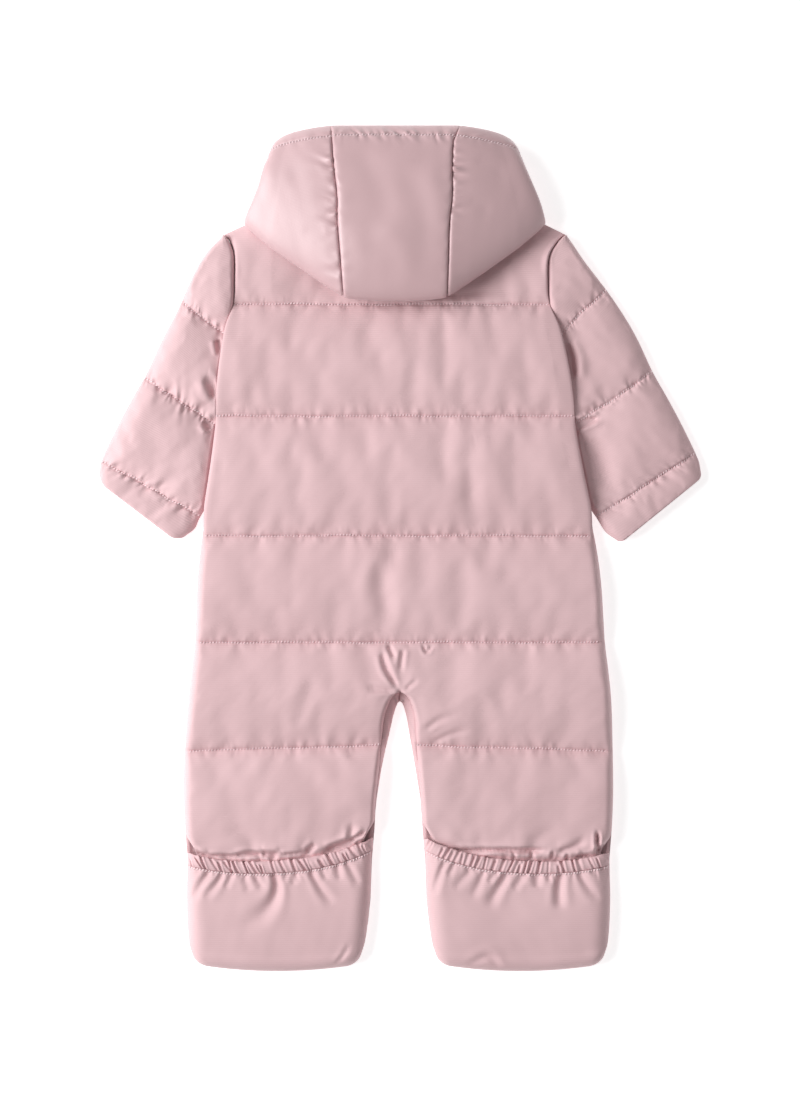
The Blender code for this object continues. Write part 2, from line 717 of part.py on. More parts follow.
def make_fronts():
    rows, crotch = front_rows()
    columns = len(rows[0][0])
    outer = [point for row in rows for point in row[0]]
    inner = [point for row in rows for point in row[1]]
    faces = []
    for face in grid_faces(len(rows), columns):
        row, column = divmod(face[0], columns)
        if row >= crotch or column >= WRAP_COLUMNS:
            faces.append(face)
    wall_object("front_right", flipped(faces), outer, inner, SHELL_COLOUR)
    wall_object("front_left", faces, mirrored(outer), mirrored(inner), SHELL_COLOUR)


def flap_columns(inner_x, outer_x):
    first = inner_x + FLAP_EDGE_INSETS[-1]
    last = outer_x - FLAP_EDGE_INSETS[-1]
    near = [inner_x + d for d in FLAP_EDGE_INSETS]
    middle = [mix(first, last, i / FLAP_FOLDS) for i in range(1, FLAP_FOLDS)]
    far = [outer_x - d for d in reversed(FLAP_EDGE_INSETS)]
    return near + middle + far


def flap_point(x, y_at, inner_x, outer_x, crown, inside, gap=None):
    """Outer and inner point of the foot cover at x, on the line that y_at gives."""
    edge = min(x - inner_x, outer_x - x)
    lip_z = SEAM_Z + SEAM_GAP / 2
    depth = lip(edge)
    in_x = x + (depth - edge if x - inner_x < outer_x - x else edge - depth)
    rise = round_rise(edge, FLAP_ROUND)
    in_rise = round_rise(depth - EDGE_WALL, SMALL_INNER_ROUND)
    in_y = y_at(in_x)
    if gap is not None:
        rise *= round_rise(gap, FLAP_ROUND)
        in_y = foot_bottom(in_x, inner_x, outer_x) + lip(gap)
        in_rise *= round_rise(lip(gap) - EDGE_WALL, SMALL_INNER_ROUND)
    outer_z = lip_z + (crown - lip_z) * rise
    return (x, y_at(x), outer_z), (in_x, in_y, lip_z + (inside - lip_z) * in_rise)


def make_flaps():
    foot = foot_ends()
    columns = len(flap_columns(*foot))
    outer = []
    inner = []
    for share, crown, inside in FLAP_ROWS:
        for column in range(columns):
            mid_y = mix(BAND_MIDDLE_Y, FOOT_CORNER_Y + FLAP_END, share)
            inner_x, outer_x = smooth_at(INSEAM, mid_y), smooth_at(SIDE, mid_y)
            x = flap_columns(inner_x, outer_x)[column]
            end_y = foot_bottom(flap_columns(*foot)[column], *foot) + FLAP_END

            def y_at(place, share=share, end_y=end_y):
                return mix(band_line(place, 2) - SEAM_GAP / 2, end_y, share)

            fold = FLAP_FOLD_RISE * (-1) ** column * (1.0 - share)
            out_point, in_point = flap_point(x, y_at, inner_x, outer_x, crown + fold, inside)
            outer.append(out_point)
            inner.append(in_point)
    for gap in FLAP_END_GAPS:
        ends = foot_ends(gap)
        for x in flap_columns(*ends):

            def y_at(place, gap=gap, ends=ends):
                return foot_bottom(place, *ends) + gap

            out_point, in_point = flap_point(x, y_at, *ends, FLAP_ROWS[-1][1], FLAP_ROWS[-1][2], gap)
            outer.append(out_point)
            inner.append(in_point)
    faces = grid_faces(len(FLAP_ROWS) + len(FLAP_END_GAPS), columns)
    wall_object("foot_flap_right", faces, outer, inner, SHELL_COLOUR)
    wall_object("foot_flap_left", flipped(faces), mirrored(outer), mirrored(inner), SHELL_COLOUR)


def make_bands():
    columns = BAND_RUFFLES * RUFFLE_STEPS + 1
    inner_x = smooth_at(INSEAM, BAND_ENDS_Y[0])
    outer_x = smooth_at(SIDE, BAND_ENDS_Y[1])
    outer = []
    inner = []
    for share, height, inside in BAND_ROWS:
        for column in range(columns):
            x = mix(inner_x, outer_x, column / (columns - 1))
            ruffle = math.cos(math.tau * column / RUFFLE_STEPS)

            def y_at(place, share=share, ruffle=ruffle):
                y = mix(band_line(place, 1), band_line(place, 2) + SEAM_GAP / 2, share)
                return y + RUFFLE_SWAY * ruffle * (1.0 - share)

            crown = FLAP_TOP_Z + height + RUFFLE_RISE * ruffle
            out_point, in_point = flap_point(x, y_at, inner_x, outer_x, crown, inside)
            outer.append(out_point)
            inner.append(in_point)
    faces = grid_faces(len(BAND_ROWS), columns)
    wall_object("foot_band_right", faces, outer, inner, SHELL_COLOUR)
    wall_object("foot_band_left", flipped(faces), mirrored(outer), mirrored(inner), SHELL_COLOUR)


def sleeve_fold_at(y):
    return Vector((smooth_at(SLEEVE_FOLD, y), y))


def sleeve_stations():
    """Sections from the shoulder to the cuff; the number of the first closed one."""
    stations = []
    yoke_fold, yoke_seam = SLEEVE_LINES["yoke"]
    elbow_fold, elbow_seam = SLEEVE_LINES["elbow"]
    armhole = [mix(NECKLINE[-1][1], QUILT_LINES[0], s) for s in CHANNEL_SHARES[1:]]
    armhole += [mix(QUILT_LINES[0], QUILT_LINES[1], s) for s in CHANNEL_SHARES]
    armhole += [mix(QUILT_LINES[1], QUILT_LINES[2], s) for s in CHANNEL_SHARES[:2]]
    top = armhole[0]
    for y in armhole:
        if y > yoke_seam + 0.5:
            share = (top - y) / (top - yoke_seam)
            fold_y = mix(SLEEVE_FOLD[0][0], yoke_fold, share)
            puffed = puff(mix(SLEEVE_FIRST_PUFF, 1.0, share))
        else:
            share = (yoke_seam - y) / (yoke_seam - elbow_seam)
            fold_y = mix(yoke_fold, elbow_fold, share)
            puffed = puff(min(share, 1.0))
        openness = straight_at(ARMHOLE, y)
        crown = mix(STITCH_Z, SLEEVE_CROWN_Z, puffed)
        seam = Vector((smooth_at(SIDE, y) + ARMHOLE_GAP, y))
        stations.append(Station(seam, sleeve_fold_at(fold_y), crown, openness))
    closed = len(stations) - 1
    hem_fold, hem_seam = SLEEVE_LINES["hem"]
    for share in CHANNEL_SHARES[1:] + (1.0,):
        y = mix(elbow_seam, hem_seam, share)
        fold_y = mix(elbow_fold, hem_fold, share)
        crown = mix(STITCH_Z, SLEEVE_CROWN_Z, puff(share))
        seam = Vector((smooth_at(SLEEVE_SEAM, y), y))
        stations.append(Station(seam, sleeve_fold_at(fold_y), crown, 0.0))
    cuff_fold, cuff_seam = SLEEVE_LINES["cuff"]
    for share, crown in ((0.5, SLEEVE_HEM_Z), (1.0, SLEEVE_HEM_Z - 1.0)):
        y = mix(hem_seam, cuff_seam, share)
        fold_y = mix(hem_fold, cuff_fold, share)
        seam = Vector((smooth_at(SLEEVE_SEAM, y), y))
        stations.append(Station(seam, sleeve_fold_at(fold_y), crown, 0.0))
    return stations, closed


def sleeve_point(station, share, over):
    """Outer and inner point of a section; share is 0 at the inner seam and 1 at the fold."""
    seam, fold, crown, openness = station
    width = (fold - seam).length
    from_seam = share * width
    seam_wall = mix(EDGE_WALL, 0.0, openness)
    in_share = (seam_wall + share * (width - EDGE_WALL - seam_wall)) / width
    in_from_seam = in_share * width
    if over:
        full, seam_z, inside, in_seam_z, rounding = crown, ARMHOLE_Z, BACK_INNER_Z, BACK_INNER_Z, EDGE_ROUND
    else:
        full, seam_z, inside, in_seam_z, rounding = 0.0, 0.0, FRONT_WALL, FRONT_WALL, FRONT_ROUND
    rounding = min(rounding, SLEEVE_ROUND_SHARE * width)
    low = mix(SEAM_Z, seam_z, openness)
    outer_z = low + (full - low) * round_rise(from_seam, rounding)
    outer_z = SEAM_Z + (outer_z - SEAM_Z) * round_rise(width - from_seam, rounding)
    in_low = mix(SEAM_Z, in_seam_z, openness)
    inner_z = in_low + (inside - in_low) * round_rise(in_from_seam - seam_wall, SMALL_INNER_ROUND)
    in_fold_rise = round_rise(width - in_from_seam - EDGE_WALL, SMALL_INNER_ROUND)
    inner_z = SEAM_Z + (inner_z - SEAM_Z) * in_fold_rise
    place = seam.lerp(fold, share)
    in_place = seam.lerp(fold, in_share)
    return (place.x, place.y, outer_z), (in_place.x, in_place.y, inner_z)


def make_sleeves():
    stations, closed = sleeve_stations()
    ring = [(share, True) for share in SLEEVE_SHARES] + [(share, False) for share in SLEEVE_UNDER_SHARES]
    columns = len(ring)
    outer = []
    inner = []
    for station in stations:
        for share, over in ring:
            out_point, in_point = sleeve_point(station, share, over)
            outer.append(out_point)
            inner.append(in_point)

    def joined(index):
        row, column = divmod(index, columns)
        return row * columns if row >= closed and column == columns - 1 else index

    faces = [tuple(joined(i) for i in face) for face in grid_faces(len(stations), columns)]
    wall_object("sleeve_right", faces, outer, inner, SHELL_COLOUR)
    wall_object("sleeve_left", flipped(faces), mirrored(outer), mirrored(inner), SHELL_COLOUR)


def hood_path(line):
    """Points from the neck, under the fold and over the top to the face edge, on one line of the hood."""
    neck_z, under_z, fold_z, peak_z, face_z = line[2], line[3], line[6], line[7], line[10]
    neck, fold, face = Vector(line[0:2]), Vector(line[4:6]), Vector(line[8:10])
    points = []
    for share, to_under, to_fold in HOOD_UNDER:
        height = mix(mix(neck_z, under_z, to_under), fold_z, to_fold)
        points.append((*neck.lerp(fold, share), height))
    hump = peak_z - mix(fold_z, face_z, 0.5)
    for share in HOOD_TOP_SHARES:
        height = mix(fold_z, face_z, share) + hump * (4.0 * share * (1.0 - share)) ** HOOD_BOW_POWER
        points.append((*fold.lerp(face, share), height))
    return points


def hood_line_at(number):
    """A hood line between the table's rows."""
    table = [(float(i), *row) for i, row in enumerate(HOOD_LINES)]
    return [smooth_at(table, number, column) for column in range(1, len(table[0]))]


def make_hood_sides():
    paths = [hood_path(hood_line_at(number)) for number in HOOD_SIDE_COLUMNS]
    rows = len(paths[0])
    columns = len(paths)
    outer = [paths[c][r] for r in range(rows) for c in range(columns)]
    seam = {r * columns for r in range(rows)}
    outer = [(x + SEAM_GAP / 2 if i in seam else x, y, z) for i, (x, y, z) in enumerate(outer)]
    faces = flipped(grid_faces(rows, columns))
    inner = inward(faces, outer, HOOD_WALL, seam)
    # beside the chin the inside stays over the outside, which lies on the surface
    for i, ((x, y, z), low_z) in enumerate(zip(inner, (point[2] for point in outer))):
        if z < HOOD_LINING_Z:
            inner[i] = (x, y, 2.0 * low_z - z)
    wall_object("hood_side_right", faces, outer, inner, HOOD_COLOUR)
    wall_object("hood_side_left", flipped(faces), mirrored(outer), mirrored(inner), HOOD_COLOUR)


def make_hood_centre():
    path = hood_path(HOOD_LINES[0])
    folded = len(HOOD_UNDER)
    columns = len(HOOD_CENTRE_SHARES)
    neck_gap = HOOD_LINES[0][1] - straight_at(NECKLINE, HOOD_LINES[0][0], 1)
    outer = []
    for number, (x, y, z) in enumerate(path):
        on_top = max(number - folded + 1, 0) / (len(path) - folded)
        for share in HOOD_CENTRE_SHARES:
            place = share * (x - SEAM_GAP / 2)
            middle = 1.0 - share**2
            neck_y = straight_at(NECKLINE, abs(place), 1) + neck_gap - HOOD_LINES[0][1]
            under = 1.0 - min(number / (folded - 1), 1.0)
            sag = neck_y * under - HOOD_CENTRE_RISE * middle * (1.0 - under) * (1.0 - on_top)
            rise = HOOD_CENTRE_RISE * middle * math.sin(math.pi * on_top)
            outer.append((place, y + sag, z + rise))
    faces = flipped(grid_faces(len(path), columns))
    edges = {i for i in range(len(outer)) if i % columns in (0, columns - 1)}
    wall_object("hood_centre", faces, outer, inward(faces, outer, HOOD_WALL, edges), HOOD_COLOUR)


def block_solid(name, xs, ys, zs, filled, colour, roughness, metallic):
    """Solid of the filled cells of a block that is cut at the given x, y and z."""
    corners = {}
    faces = []

    def corner(i, j, k):
        return corners.setdefault((i, j, k), len(corners))

    for i, j, k in sorted(filled):
        sides = [
            ((-1, 0, 0), [(0, 0, 0), (0, 0, 1), (0, 1, 1), (0, 1, 0)]),
            ((1, 0, 0), [(1, 0, 0), (1, 1, 0), (1, 1, 1), (1, 0, 1)]),
            ((0, -1, 0), [(0, 0, 0), (1, 0, 0), (1, 0, 1), (0, 0, 1)]),
            ((0, 1, 0), [(0, 1, 0), (0, 1, 1), (1, 1, 1), (1, 1, 0)]),
            ((0, 0, -1), [(0, 0, 0), (0, 1, 0), (1, 1, 0), (1, 0, 0)]),
            ((0, 0, 1), [(0, 0, 1), (1, 0, 1), (1, 1, 1), (0, 1, 1)]),
        ]
        for (di, dj, dk), quad in sides:
            if (i + di, j + dj, k + dk) not in filled:
                faces.append(tuple(corner(i + a, j + b, k + c) for a, b, c in quad))
    points = [(xs[i], ys[j], zs[k]) for i, j, k in corners]
    return mesh_object(name, points, faces, colour, roughness, metallic)


def make_zip():
    near, far, low, high = TAPE
    tape_y = (ZIP_END_Y, ZIP_TOP_Y + TAPE_TOP)
    for name, side in (("zip_tape_left", -1), ("zip_tape_right", 1)):
        xs = sorted((side * near, side * far))
        block_solid(name, xs, tape_y, (low, high), {(0, 0, 0)}, TAPE_COLOUR, 0.85, 0.0)
    chain_top = ZIP_TOP_Y - 2.0 * SLIDER_POST_HALF - 2.0 * SEAM_GAP
    chain_x = (-CHAIN_HALF_WIDTH, CHAIN_HALF_WIDTH)
    block_solid("zip_chain", chain_x, (ZIP_END_Y, chain_top), CHAIN_Z, {(0, 0, 0)}, CHAIN_COLOUR, 0.45, 0.0)
    make_slider()
    make_pull()


def make_slider():
    """Front plate, back plate and the post between them past the chain's end, and the pull's two ears."""
    wide, narrow = SLIDER_HALF_WIDTH, SLIDER_POST_HALF
    xs = (-wide, -EAR_X[1], -EAR_X[0], -narrow, narrow, EAR_X[0], EAR_X[1], wide)
    post_start = ZIP_TOP_Y - 2.0 * narrow
    ear_low = PULL_AXIS[1] - EAR_HALF_LENGTH
    ear_high = PULL_AXIS[1] + EAR_HALF_LENGTH
    ys = (ZIP_TOP_Y - SLIDER_LENGTH, ear_low, post_start, ear_high, ZIP_TOP_Y)
    zs = (EAR_BOTTOM_Z, SLIDER_PLATE_Z[0], SLIDER_PLATE_Z[1], SLIDER_BACK_Z[0], SLIDER_BACK_Z[1])
    filled = set()
    for i in range(len(xs) - 1):
        for j in range(len(ys) - 1):
            filled.add((i, j, 1))
            filled.add((i, j, 3))
    filled |= {(3, j, 2) for j in range(2, len(ys) - 1)}
    filled |= {(i, j, 0) for i in (1, 5) for j in range(1, 3)}
    slider = block_solid("zip_slider", xs, ys, zs, filled, METAL_COLOUR, 0.35, 1.0)
    soften_edges(slider, METAL_BEVEL)


def make_pull():
    """Flat tab whose round head turns between the slider's ears."""
    half_thick = PULL_HALF_THICKNESS
    outline = []
    steps = 8
    for step in range(steps + 1):
        angle = math.pi / 2 - math.pi * step / steps
        outline.append((half_thick * math.cos(angle), half_thick * math.sin(angle)))
    outline += [(-PULL_LENGTH, -half_thick), (-PULL_LENGTH, half_thick)]
    points = [(side * PULL_HALF_WIDTH, y, z) for side in (-1, 1) for y, z in outline]
    count = len(outline)
    faces = [tuple(reversed(range(count))), tuple(range(count, 2 * count))]
    for i in range(count):
        j = (i + 1) % count
        faces.append((i, j, j + count, i + count))
    pull = mesh_object("zip_pull", points, [f[::-1] for f in faces], METAL_COLOUR, 0.35, 1.0)
    pull.location = Vector(PULL_AXIS) * MM
    soften_edges(pull, METAL_BEVEL)


def soften_edges(target, width):
    bevel = target.modifiers.new("edges", "BEVEL")
    bevel.width = width * MM
    bevel.segments = 1
    bevel.limit_method = "ANGLE"
    bevel.angle_limit = math.radians(40)


def clear_scene():
    for old in list(bpy.context.scene.objects):
        bpy.data.objects.remove(old, do_unlink=True)


def main():
    clear_scene()
    make_back()
    make_fronts()
    make_sleeves()
    make_flaps()
    make_bands()
    make_hood_centre()
    make_hood_sides()
    make_zip()


main()
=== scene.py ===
import math

import bmesh
import bpy
import numpy as np
from mathutils import Matrix, Vector


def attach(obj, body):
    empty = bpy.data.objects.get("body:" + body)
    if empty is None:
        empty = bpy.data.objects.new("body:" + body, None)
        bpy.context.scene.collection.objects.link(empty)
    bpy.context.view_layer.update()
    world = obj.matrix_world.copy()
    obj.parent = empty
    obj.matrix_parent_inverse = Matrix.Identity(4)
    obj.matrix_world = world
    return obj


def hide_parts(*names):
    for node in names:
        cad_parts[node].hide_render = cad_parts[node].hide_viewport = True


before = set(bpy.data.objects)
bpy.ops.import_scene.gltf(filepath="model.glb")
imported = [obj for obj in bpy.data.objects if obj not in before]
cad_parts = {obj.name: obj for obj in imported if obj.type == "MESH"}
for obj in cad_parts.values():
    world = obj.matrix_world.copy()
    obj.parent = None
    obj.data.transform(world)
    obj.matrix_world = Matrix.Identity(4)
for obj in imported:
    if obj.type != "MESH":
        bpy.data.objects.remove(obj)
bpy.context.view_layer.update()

mm = 0.001

# sizes in millimetres, feet towards -Y, face down, up is +Z

suit = {
    "seamGap": 0.3,
    "seamZ": 7.0,
    "edgeWall": 3.0,
    "frontWall": 5.0,
    "backInnerZ": 8.5,
    "armholeZ": 14.0,
    "stitchZ": 14.0,
    "crownZ": 23.5,
    "edgeRound": 20.0,
    "puffPower": 0.68,
    "quiltLines": (204.6, 111.6, 12.0, -76.8, -164.8),
    "legLineTilt": 2.5,
    "crotchY": -118.3,
    # x, back neck y, front neck y
    "neckline": [
        (0.0, 278.0, 249.0), (20.0, 279.0, 252.5), (41.0, 282.0, 263.0), (62.0, 288.0, 288.0),
        (90.0, 281.5, 281.5), (124.5, 271.8, 271.8), (142.5, 263.2, 263.2),
    ],
    # y, half width
    "side": [
        (263.2, 142.5), (258.2, 137.6), (245.6, 131.2), (222.2, 130.4), (204.6, 131.6), (176.7, 138.4),
        (139.5, 144.6), (103.6, 147.3), (71.0, 151.9), (37.0, 158.2), (12.0, 163.5), (-13.0, 167.2),
        (-38.0, 169.3), (-76.0, 171.0), (-100.0, 173.9), (-125.0, 176.4), (-166.0, 177.6), (-205.0, 178.0),
        (-241.0, 176.4), (-258.0, 174.9), (-291.0, 175.5), (-324.0, 173.9), (-335.0, 171.0),
    ],
    # y, how far the armhole stands open
    "armhole": [(263.2, 0.0), (258.2, 0.45), (247.0, 1.0), (120.0, 1.0), (111.6, 0.6), (103.6, 0.0)],
    # y at the side, back seam x, back seam y, seam z
    "crotch": [
        (-118.3, 0.0, -118.3, 12.0), (-124.0, 4.8, -121.2, 12.0), (-130.0, 8.3, -126.8, 12.0),
        (-139.5, 11.8, -138.5, 12.0), (-160.3, 13.0, -155.3, 11.1), (-167.3, 13.3, -162.3, 10.6),
    ],
    # y, leg edge x, distance from it to the back's seam, seam z
    "inseam": [
        (-139.5, 5.5, 6.3, 12.0), (-157.0, 8.2, 4.8, 11.0), (-183.0, 12.5, 2.4, 9.0), (-208.0, 16.2, 1.2, 7.6),
        (-233.0, 18.7, 0.0, 7.0), (-258.0, 20.8, 0.0, 7.0), (-291.0, 22.0, 0.0, 7.0), (-308.0, 23.7, 0.0, 7.0),
        (-324.0, 26.1, 0.0, 7.0), (-335.0, 29.5, 0.0, 7.0),
    ],
    # x, elastic edge y, stitched edge y
    "band": [
        (19.0, -239.5, -249.5), (45.0, -249.0, -259.5), (74.0, -255.7, -266.0), (109.0, -258.8, -268.8),
        (141.0, -258.3, -267.8), (176.0, -252.0, -262.5),
    ],
    "footCornerY": -335.0,
    "footDepth": 16.5,
    "footRound": 13.0,
    "footBow": 6.0,
}

lipZ = suit["seamZ"] + suit["seamGap"] / 2  # height of the seams round the edge
thinnest = 0.8  # least thickness left under a trough
suitSpan = (-180.0, 180.0)  # reach of the rows of puckers over the suit


def mix(a, b, share):
    return a + (b - a) * share


def curveAt(table, key, column=1):
    # smooth curve through the rows of a table
    rows = np.array(sorted(table), dtype=float)
    keys, values = rows[:, 0], rows[:, column]
    slopes = np.empty_like(values)
    slopes[1:-1] = (values[2:] - values[:-2]) / (keys[2:] - keys[:-2])
    slopes[[0, -1]] = (values[[1, -1]] - values[[0, -2]]) / (keys[[1, -1]] - keys[[0, -2]])
    key = np.clip(key, keys[0], keys[-1])
    i = np.clip(np.searchsorted(keys, key, side="right") - 1, 0, len(keys) - 2)
    span = keys[i + 1] - keys[i]
    t = (key - keys[i]) / span
    start = (2 * t**3 - 3 * t**2 + 1) * values[i] + (t**3 - 2 * t**2 + t) * span * slopes[i]
    return start + (3 * t**2 - 2 * t**3) * values[i + 1] + (t**3 - t**2) * span * slopes[i + 1]


def lineAt(table, key, column=1):
    rows = np.array(sorted(table), dtype=float)
    return np.interp(key, rows[:, 0], rows[:, column])


def sideAt(y):
    return curveAt(suit["side"], y)


def inseamAt(y, column=1):
    return curveAt(suit["inseam"], y, column)


def bandAt(x, column=1):
    return curveAt(suit["band"], x, column)


def crotchSeamAt(y):
    return curveAt([(row[2], row[1]) for row in suit["crotch"]], y)


def roundRise(distance, radius):
    t = np.clip(np.asarray(distance, dtype=float) / radius, 0.0, 1.0)
    return np.sqrt(1.0 - (1.0 - t) ** 2)


def softRise(distance, radius):
    # steep at the edge, without a visible end
    share = np.clip(distance / radius, 0.0, 1.0)
    return (1.0 - (1.0 - share) ** 3) ** 0.6


def puff(share, power=0.5):
    return np.sin(np.pi * np.clip(share, 0.0, 1.0)).clip(0.0) ** power


def smooth(low, high, value):
    t = np.clip((value - low) / (high - low), 0.0, 1.0)
    return t * t * (3.0 - 2.0 * t)


def bell(distance, width):
    return np.exp(-((distance / width) ** 2))


def lip(distance, openness=0.0):
    # distance of the lining from a seam
    return mix(np.maximum(distance, suit["edgeWall"] + 0.55 * distance), distance, openness)


def channelShares(length, near=1.25, band=13.0, middle=2.6):
    # steps across a channel, finer beside its stitch lines
    few, many = int(round(band / near)), max(int(round((length - 2 * band) / middle)), 1)
    parts = ((0.0, band, few), (band, length - band, many), (length - band, length, few))
    return np.concatenate([np.linspace(low, high, steps + 1)[:-1] for low, high, steps in parts]) / length


def trimTo(values, step):
    # keep a number of cells that the coarser lining can follow
    for _ in range((len(values) - 1) % step):
        gaps = np.diff(values)
        values = np.delete(values, int(np.argmin(np.abs(gaps[1:]) + np.abs(gaps[:-1]))) + 1)
    return values


def stops(count):
    # points of the fine sheet that the lining follows
    return list(range(0, count - 1, 3)) + [count - 1]


# folds and puckers

def ripple(x, y, size, seed):
    # soft irregular waves, about -1 to 1
    rng = np.random.default_rng(seed)
    total = np.zeros_like(x)
    for _ in range(7):
        angle = rng.uniform(0.0, math.tau)
        wave = math.tau / (size * rng.uniform(0.7, 1.6))
        total += np.sin((x * math.cos(angle) + y * math.sin(angle)) * wave + rng.uniform(0.0, math.tau))
    return total / 3.2


def ripples(x, y, seed, *waves):
    # waves of several sizes, each a height and a size
    return sum(height * ripple(x, y, size, seed + k) for k, (height, size) in enumerate(waves))


def creaseRise(x, y, creases):
    # x0, y0, x1, y1, bend, width, height: a trough where height is negative
    total = np.zeros_like(x)
    for x0, y0, x1, y1, bend, width, height in creases:
        length = math.hypot(x1 - x0, y1 - y0)
        ux, uy = (x1 - x0) / length, (y1 - y0) / length
        along = ((x - x0) * ux + (y - y0) * uy) / length
        across = (x - x0) * -uy + (y - y0) * ux - bend * 4.0 * along * (1.0 - along)
        total += height * (smooth(-0.12, 0.2, along) * smooth(1.12, 0.7, along)) * bell(across, width)
    return total


def foldRise(x, y, folds):
    # folds along curves of x, y, width, height: a trough where height is negative
    total = np.zeros_like(x)
    for fold in folds:
        marks = [(float(k), *mark) for k, mark in enumerate(fold)]
        way = np.linspace(0.0, len(fold) - 1.0, 12 * (len(fold) - 1) + 1)
        away, height = np.full(x.shape, 99.0), np.zeros_like(x)
        px, py, widths, depths = (curveAt(marks, way, k) for k in (1, 2, 3, 4))
        depths = depths * (smooth(-0.05, 0.15, way / way[-1]) * smooth(1.05, 0.75, way / way[-1]))
        for k in range(len(way)):
            reach = np.hypot(x - px[k], y - py[k]) / widths[k]
            height = np.where(reach < away, depths[k], height)
            away = np.minimum(reach, away)
        total += height * (bell(away, 1.0) - 0.3 * bell(away - 1.9, 1.0))
    return total


def puckerRise(t, d, span, seed, spacing, depth, reach, slant=0.0, sides=(-1, 1), strength=None, leanAt=None):
    # short creases that run out from a stitched line; t is along the line, d across it
    rng = np.random.default_rng(seed)
    total = np.zeros_like(t)
    for side in sides:
        away = d * side
        place = span[0] - spacing * rng.uniform(0.0, 1.0)
        while place < span[1]:
            gap = spacing * rng.uniform(0.55, 1.55)
            place += gap
            height = -depth * rng.uniform(0.3, 1.0) * (float(strength(place)) if strength else 1.0)
            length = reach * rng.uniform(0.45, 1.35)
            width = gap * rng.uniform(0.26, 0.4)
            lean = side * slant + rng.uniform(-0.4, 0.4) + (leanAt(place) if leanAt else 0.0)
            spread = 4.0 * width * (1.0 + 0.5 * np.maximum(away, 0.0) / length)
            near = (away > -0.8) & (away < 2.6 * length) & (np.abs(t - place - lean * away) < spread)
            if near.any():
                a = np.maximum(away[near], 0.0)
                off = (t[near] - place - lean * a) / (width * (1.0 + 0.5 * a / length))
                fade = np.exp(-((a / length) ** 1.6)) * (0.35 + 0.65 * np.minimum(a / 1.6, 1.0))
                fade = fade * smooth(-0.8, 0.0, away[near])
                total[near] += height * fade * (bell(off, 1.0) - 0.45 * bell(np.abs(off) - 1.7, 1.0))
    return total


def grooveRise(d, width, depth):
    return -depth * bell(d, width)


# folds of the loose cloth, found by a short cloth simulation and applied to the fine sheets

foldSizes = {
    "step": 2,  # cells of the fine sheet to one of the simulated sheet
    "frames": 30,
    "spare": 0.018,  # how much larger the cloth is than its place
    "lift": 1.0,
    "scale": 0.01,  # simulated size of a millimetre
    "share": 0.47,  # of the simulated shift that is kept
    "even": 22,  # cells over which the rise is levelled
    "cloth": {
        "quality": 6, "mass": 0.3, "air_damping": 2.0, "tension_stiffness": 15.0, "compression_stiffness": 15.0,
        "shear_stiffness": 5.0, "bending_stiffness": 6.0, "tension_damping": 5.0, "compression_damping": 5.0,
        "shear_damping": 5.0, "bending_damping": 0.5, "pin_stiffness": 1.0,
    },
}


def between(values, places, count):
    # rows given at some places only, for every place
    every = np.arange(count)
    low = np.clip(np.searchsorted(places, every, side="right") - 1, 0, len(places) - 2)
    share = ((every - places[low]) / (places[low + 1] - places[low]))[:, None, None]
    return values[low] * (1.0 - share) + values[low + 1] * share


def evened(values, cells):
    # running mean along the columns
    weights = bell(np.arange(-2 * cells, 2 * cells + 1), cells)
    padded = np.pad(values, ((0, 0), (2 * cells, 2 * cells)), mode="edge")
    return np.array([np.convolve(row, weights / weights.sum(), mode="valid") for row in padded])


def foldShift(grid, held, seed, spare=1.0):
    # shift of every point of a sheet that has cloth to spare between its held points
    f, scene = foldSizes, bpy.context.scene
    rows, columns = (np.unique(np.append(np.arange(0, n, f["step"]), n - 1)) for n in grid.shape[:2])
    coarse = grid[np.ix_(rows, columns)]
    pins = np.zeros(coarse.shape[:2], bool)
    for down in range(f["step"]):
        pins |= held[np.minimum(rows + down, grid.shape[0] - 1)][:, columns]
    start = coarse.copy()
    start[..., 2] += np.where(pins, 0.0, ripples(coarse[..., 0], coarse[..., 1], seed, (0.35, 26.0), (0.25, 12.0)))
    index = np.arange(pins.size).reshape(pins.shape)
    quads = np.stack([index[:-1, :-1], index[1:, :-1], index[1:, 1:], index[:-1, 1:]], axis=-1).reshape(-1, 4)
    mesh = bpy.data.meshes.new("folds")
    mesh.from_pydata((start.reshape(-1, 3) * f["scale"]).tolist(), [], quads.tolist())
    cloth = addObject("folds", mesh)
    cloth.vertex_groups.new(name="held").add([int(k) for k in np.flatnonzero(pins)], 1.0, "REPLACE")
    modifier = cloth.modifiers.new("folds", "CLOTH")
    modifier.settings.vertex_group_mass = "held"
    for key, value in f["cloth"].items():
        setattr(modifier.settings, key, value)
    modifier.settings.shrink_min = modifier.settings.shrink_max = -f["spare"] * spare
    modifier.collision_settings.use_collision = False
    modifier.collision_settings.use_self_collision = False
    modifier.point_cache.frame_start = scene.frame_start = 1
    modifier.point_cache.frame_end = scene.frame_end = f["frames"]
    gravity = scene.gravity.copy()
    scene.gravity = (0.0, 0.0, f["lift"])
    for number in range(1, f["frames"] + 1):
        scene.frame_set(number)
    settled = np.empty(pins.size * 3, np.float32)
    cloth.evaluated_get(bpy.context.evaluated_depsgraph_get()).data.vertices.foreach_get("co", settled)
    shift = settled.reshape(coarse.shape) / f["scale"] - coarse
    bpy.data.objects.remove(cloth)
    bpy.data.meshes.remove(mesh)
    scene.gravity = gravity
    scene.frame_set(1)
    shift = between(shift, rows, grid.shape[0])
    shift = between(shift.transpose(1, 0, 2), columns, grid.shape[1]).transpose(1, 0, 2)
    # the even part of the rise is left out, so that the sheet keeps its height
    shift[..., 2] -= 0.8 * evened(shift[..., 2], f["even"])
    return shift * f["share"]


# meshes

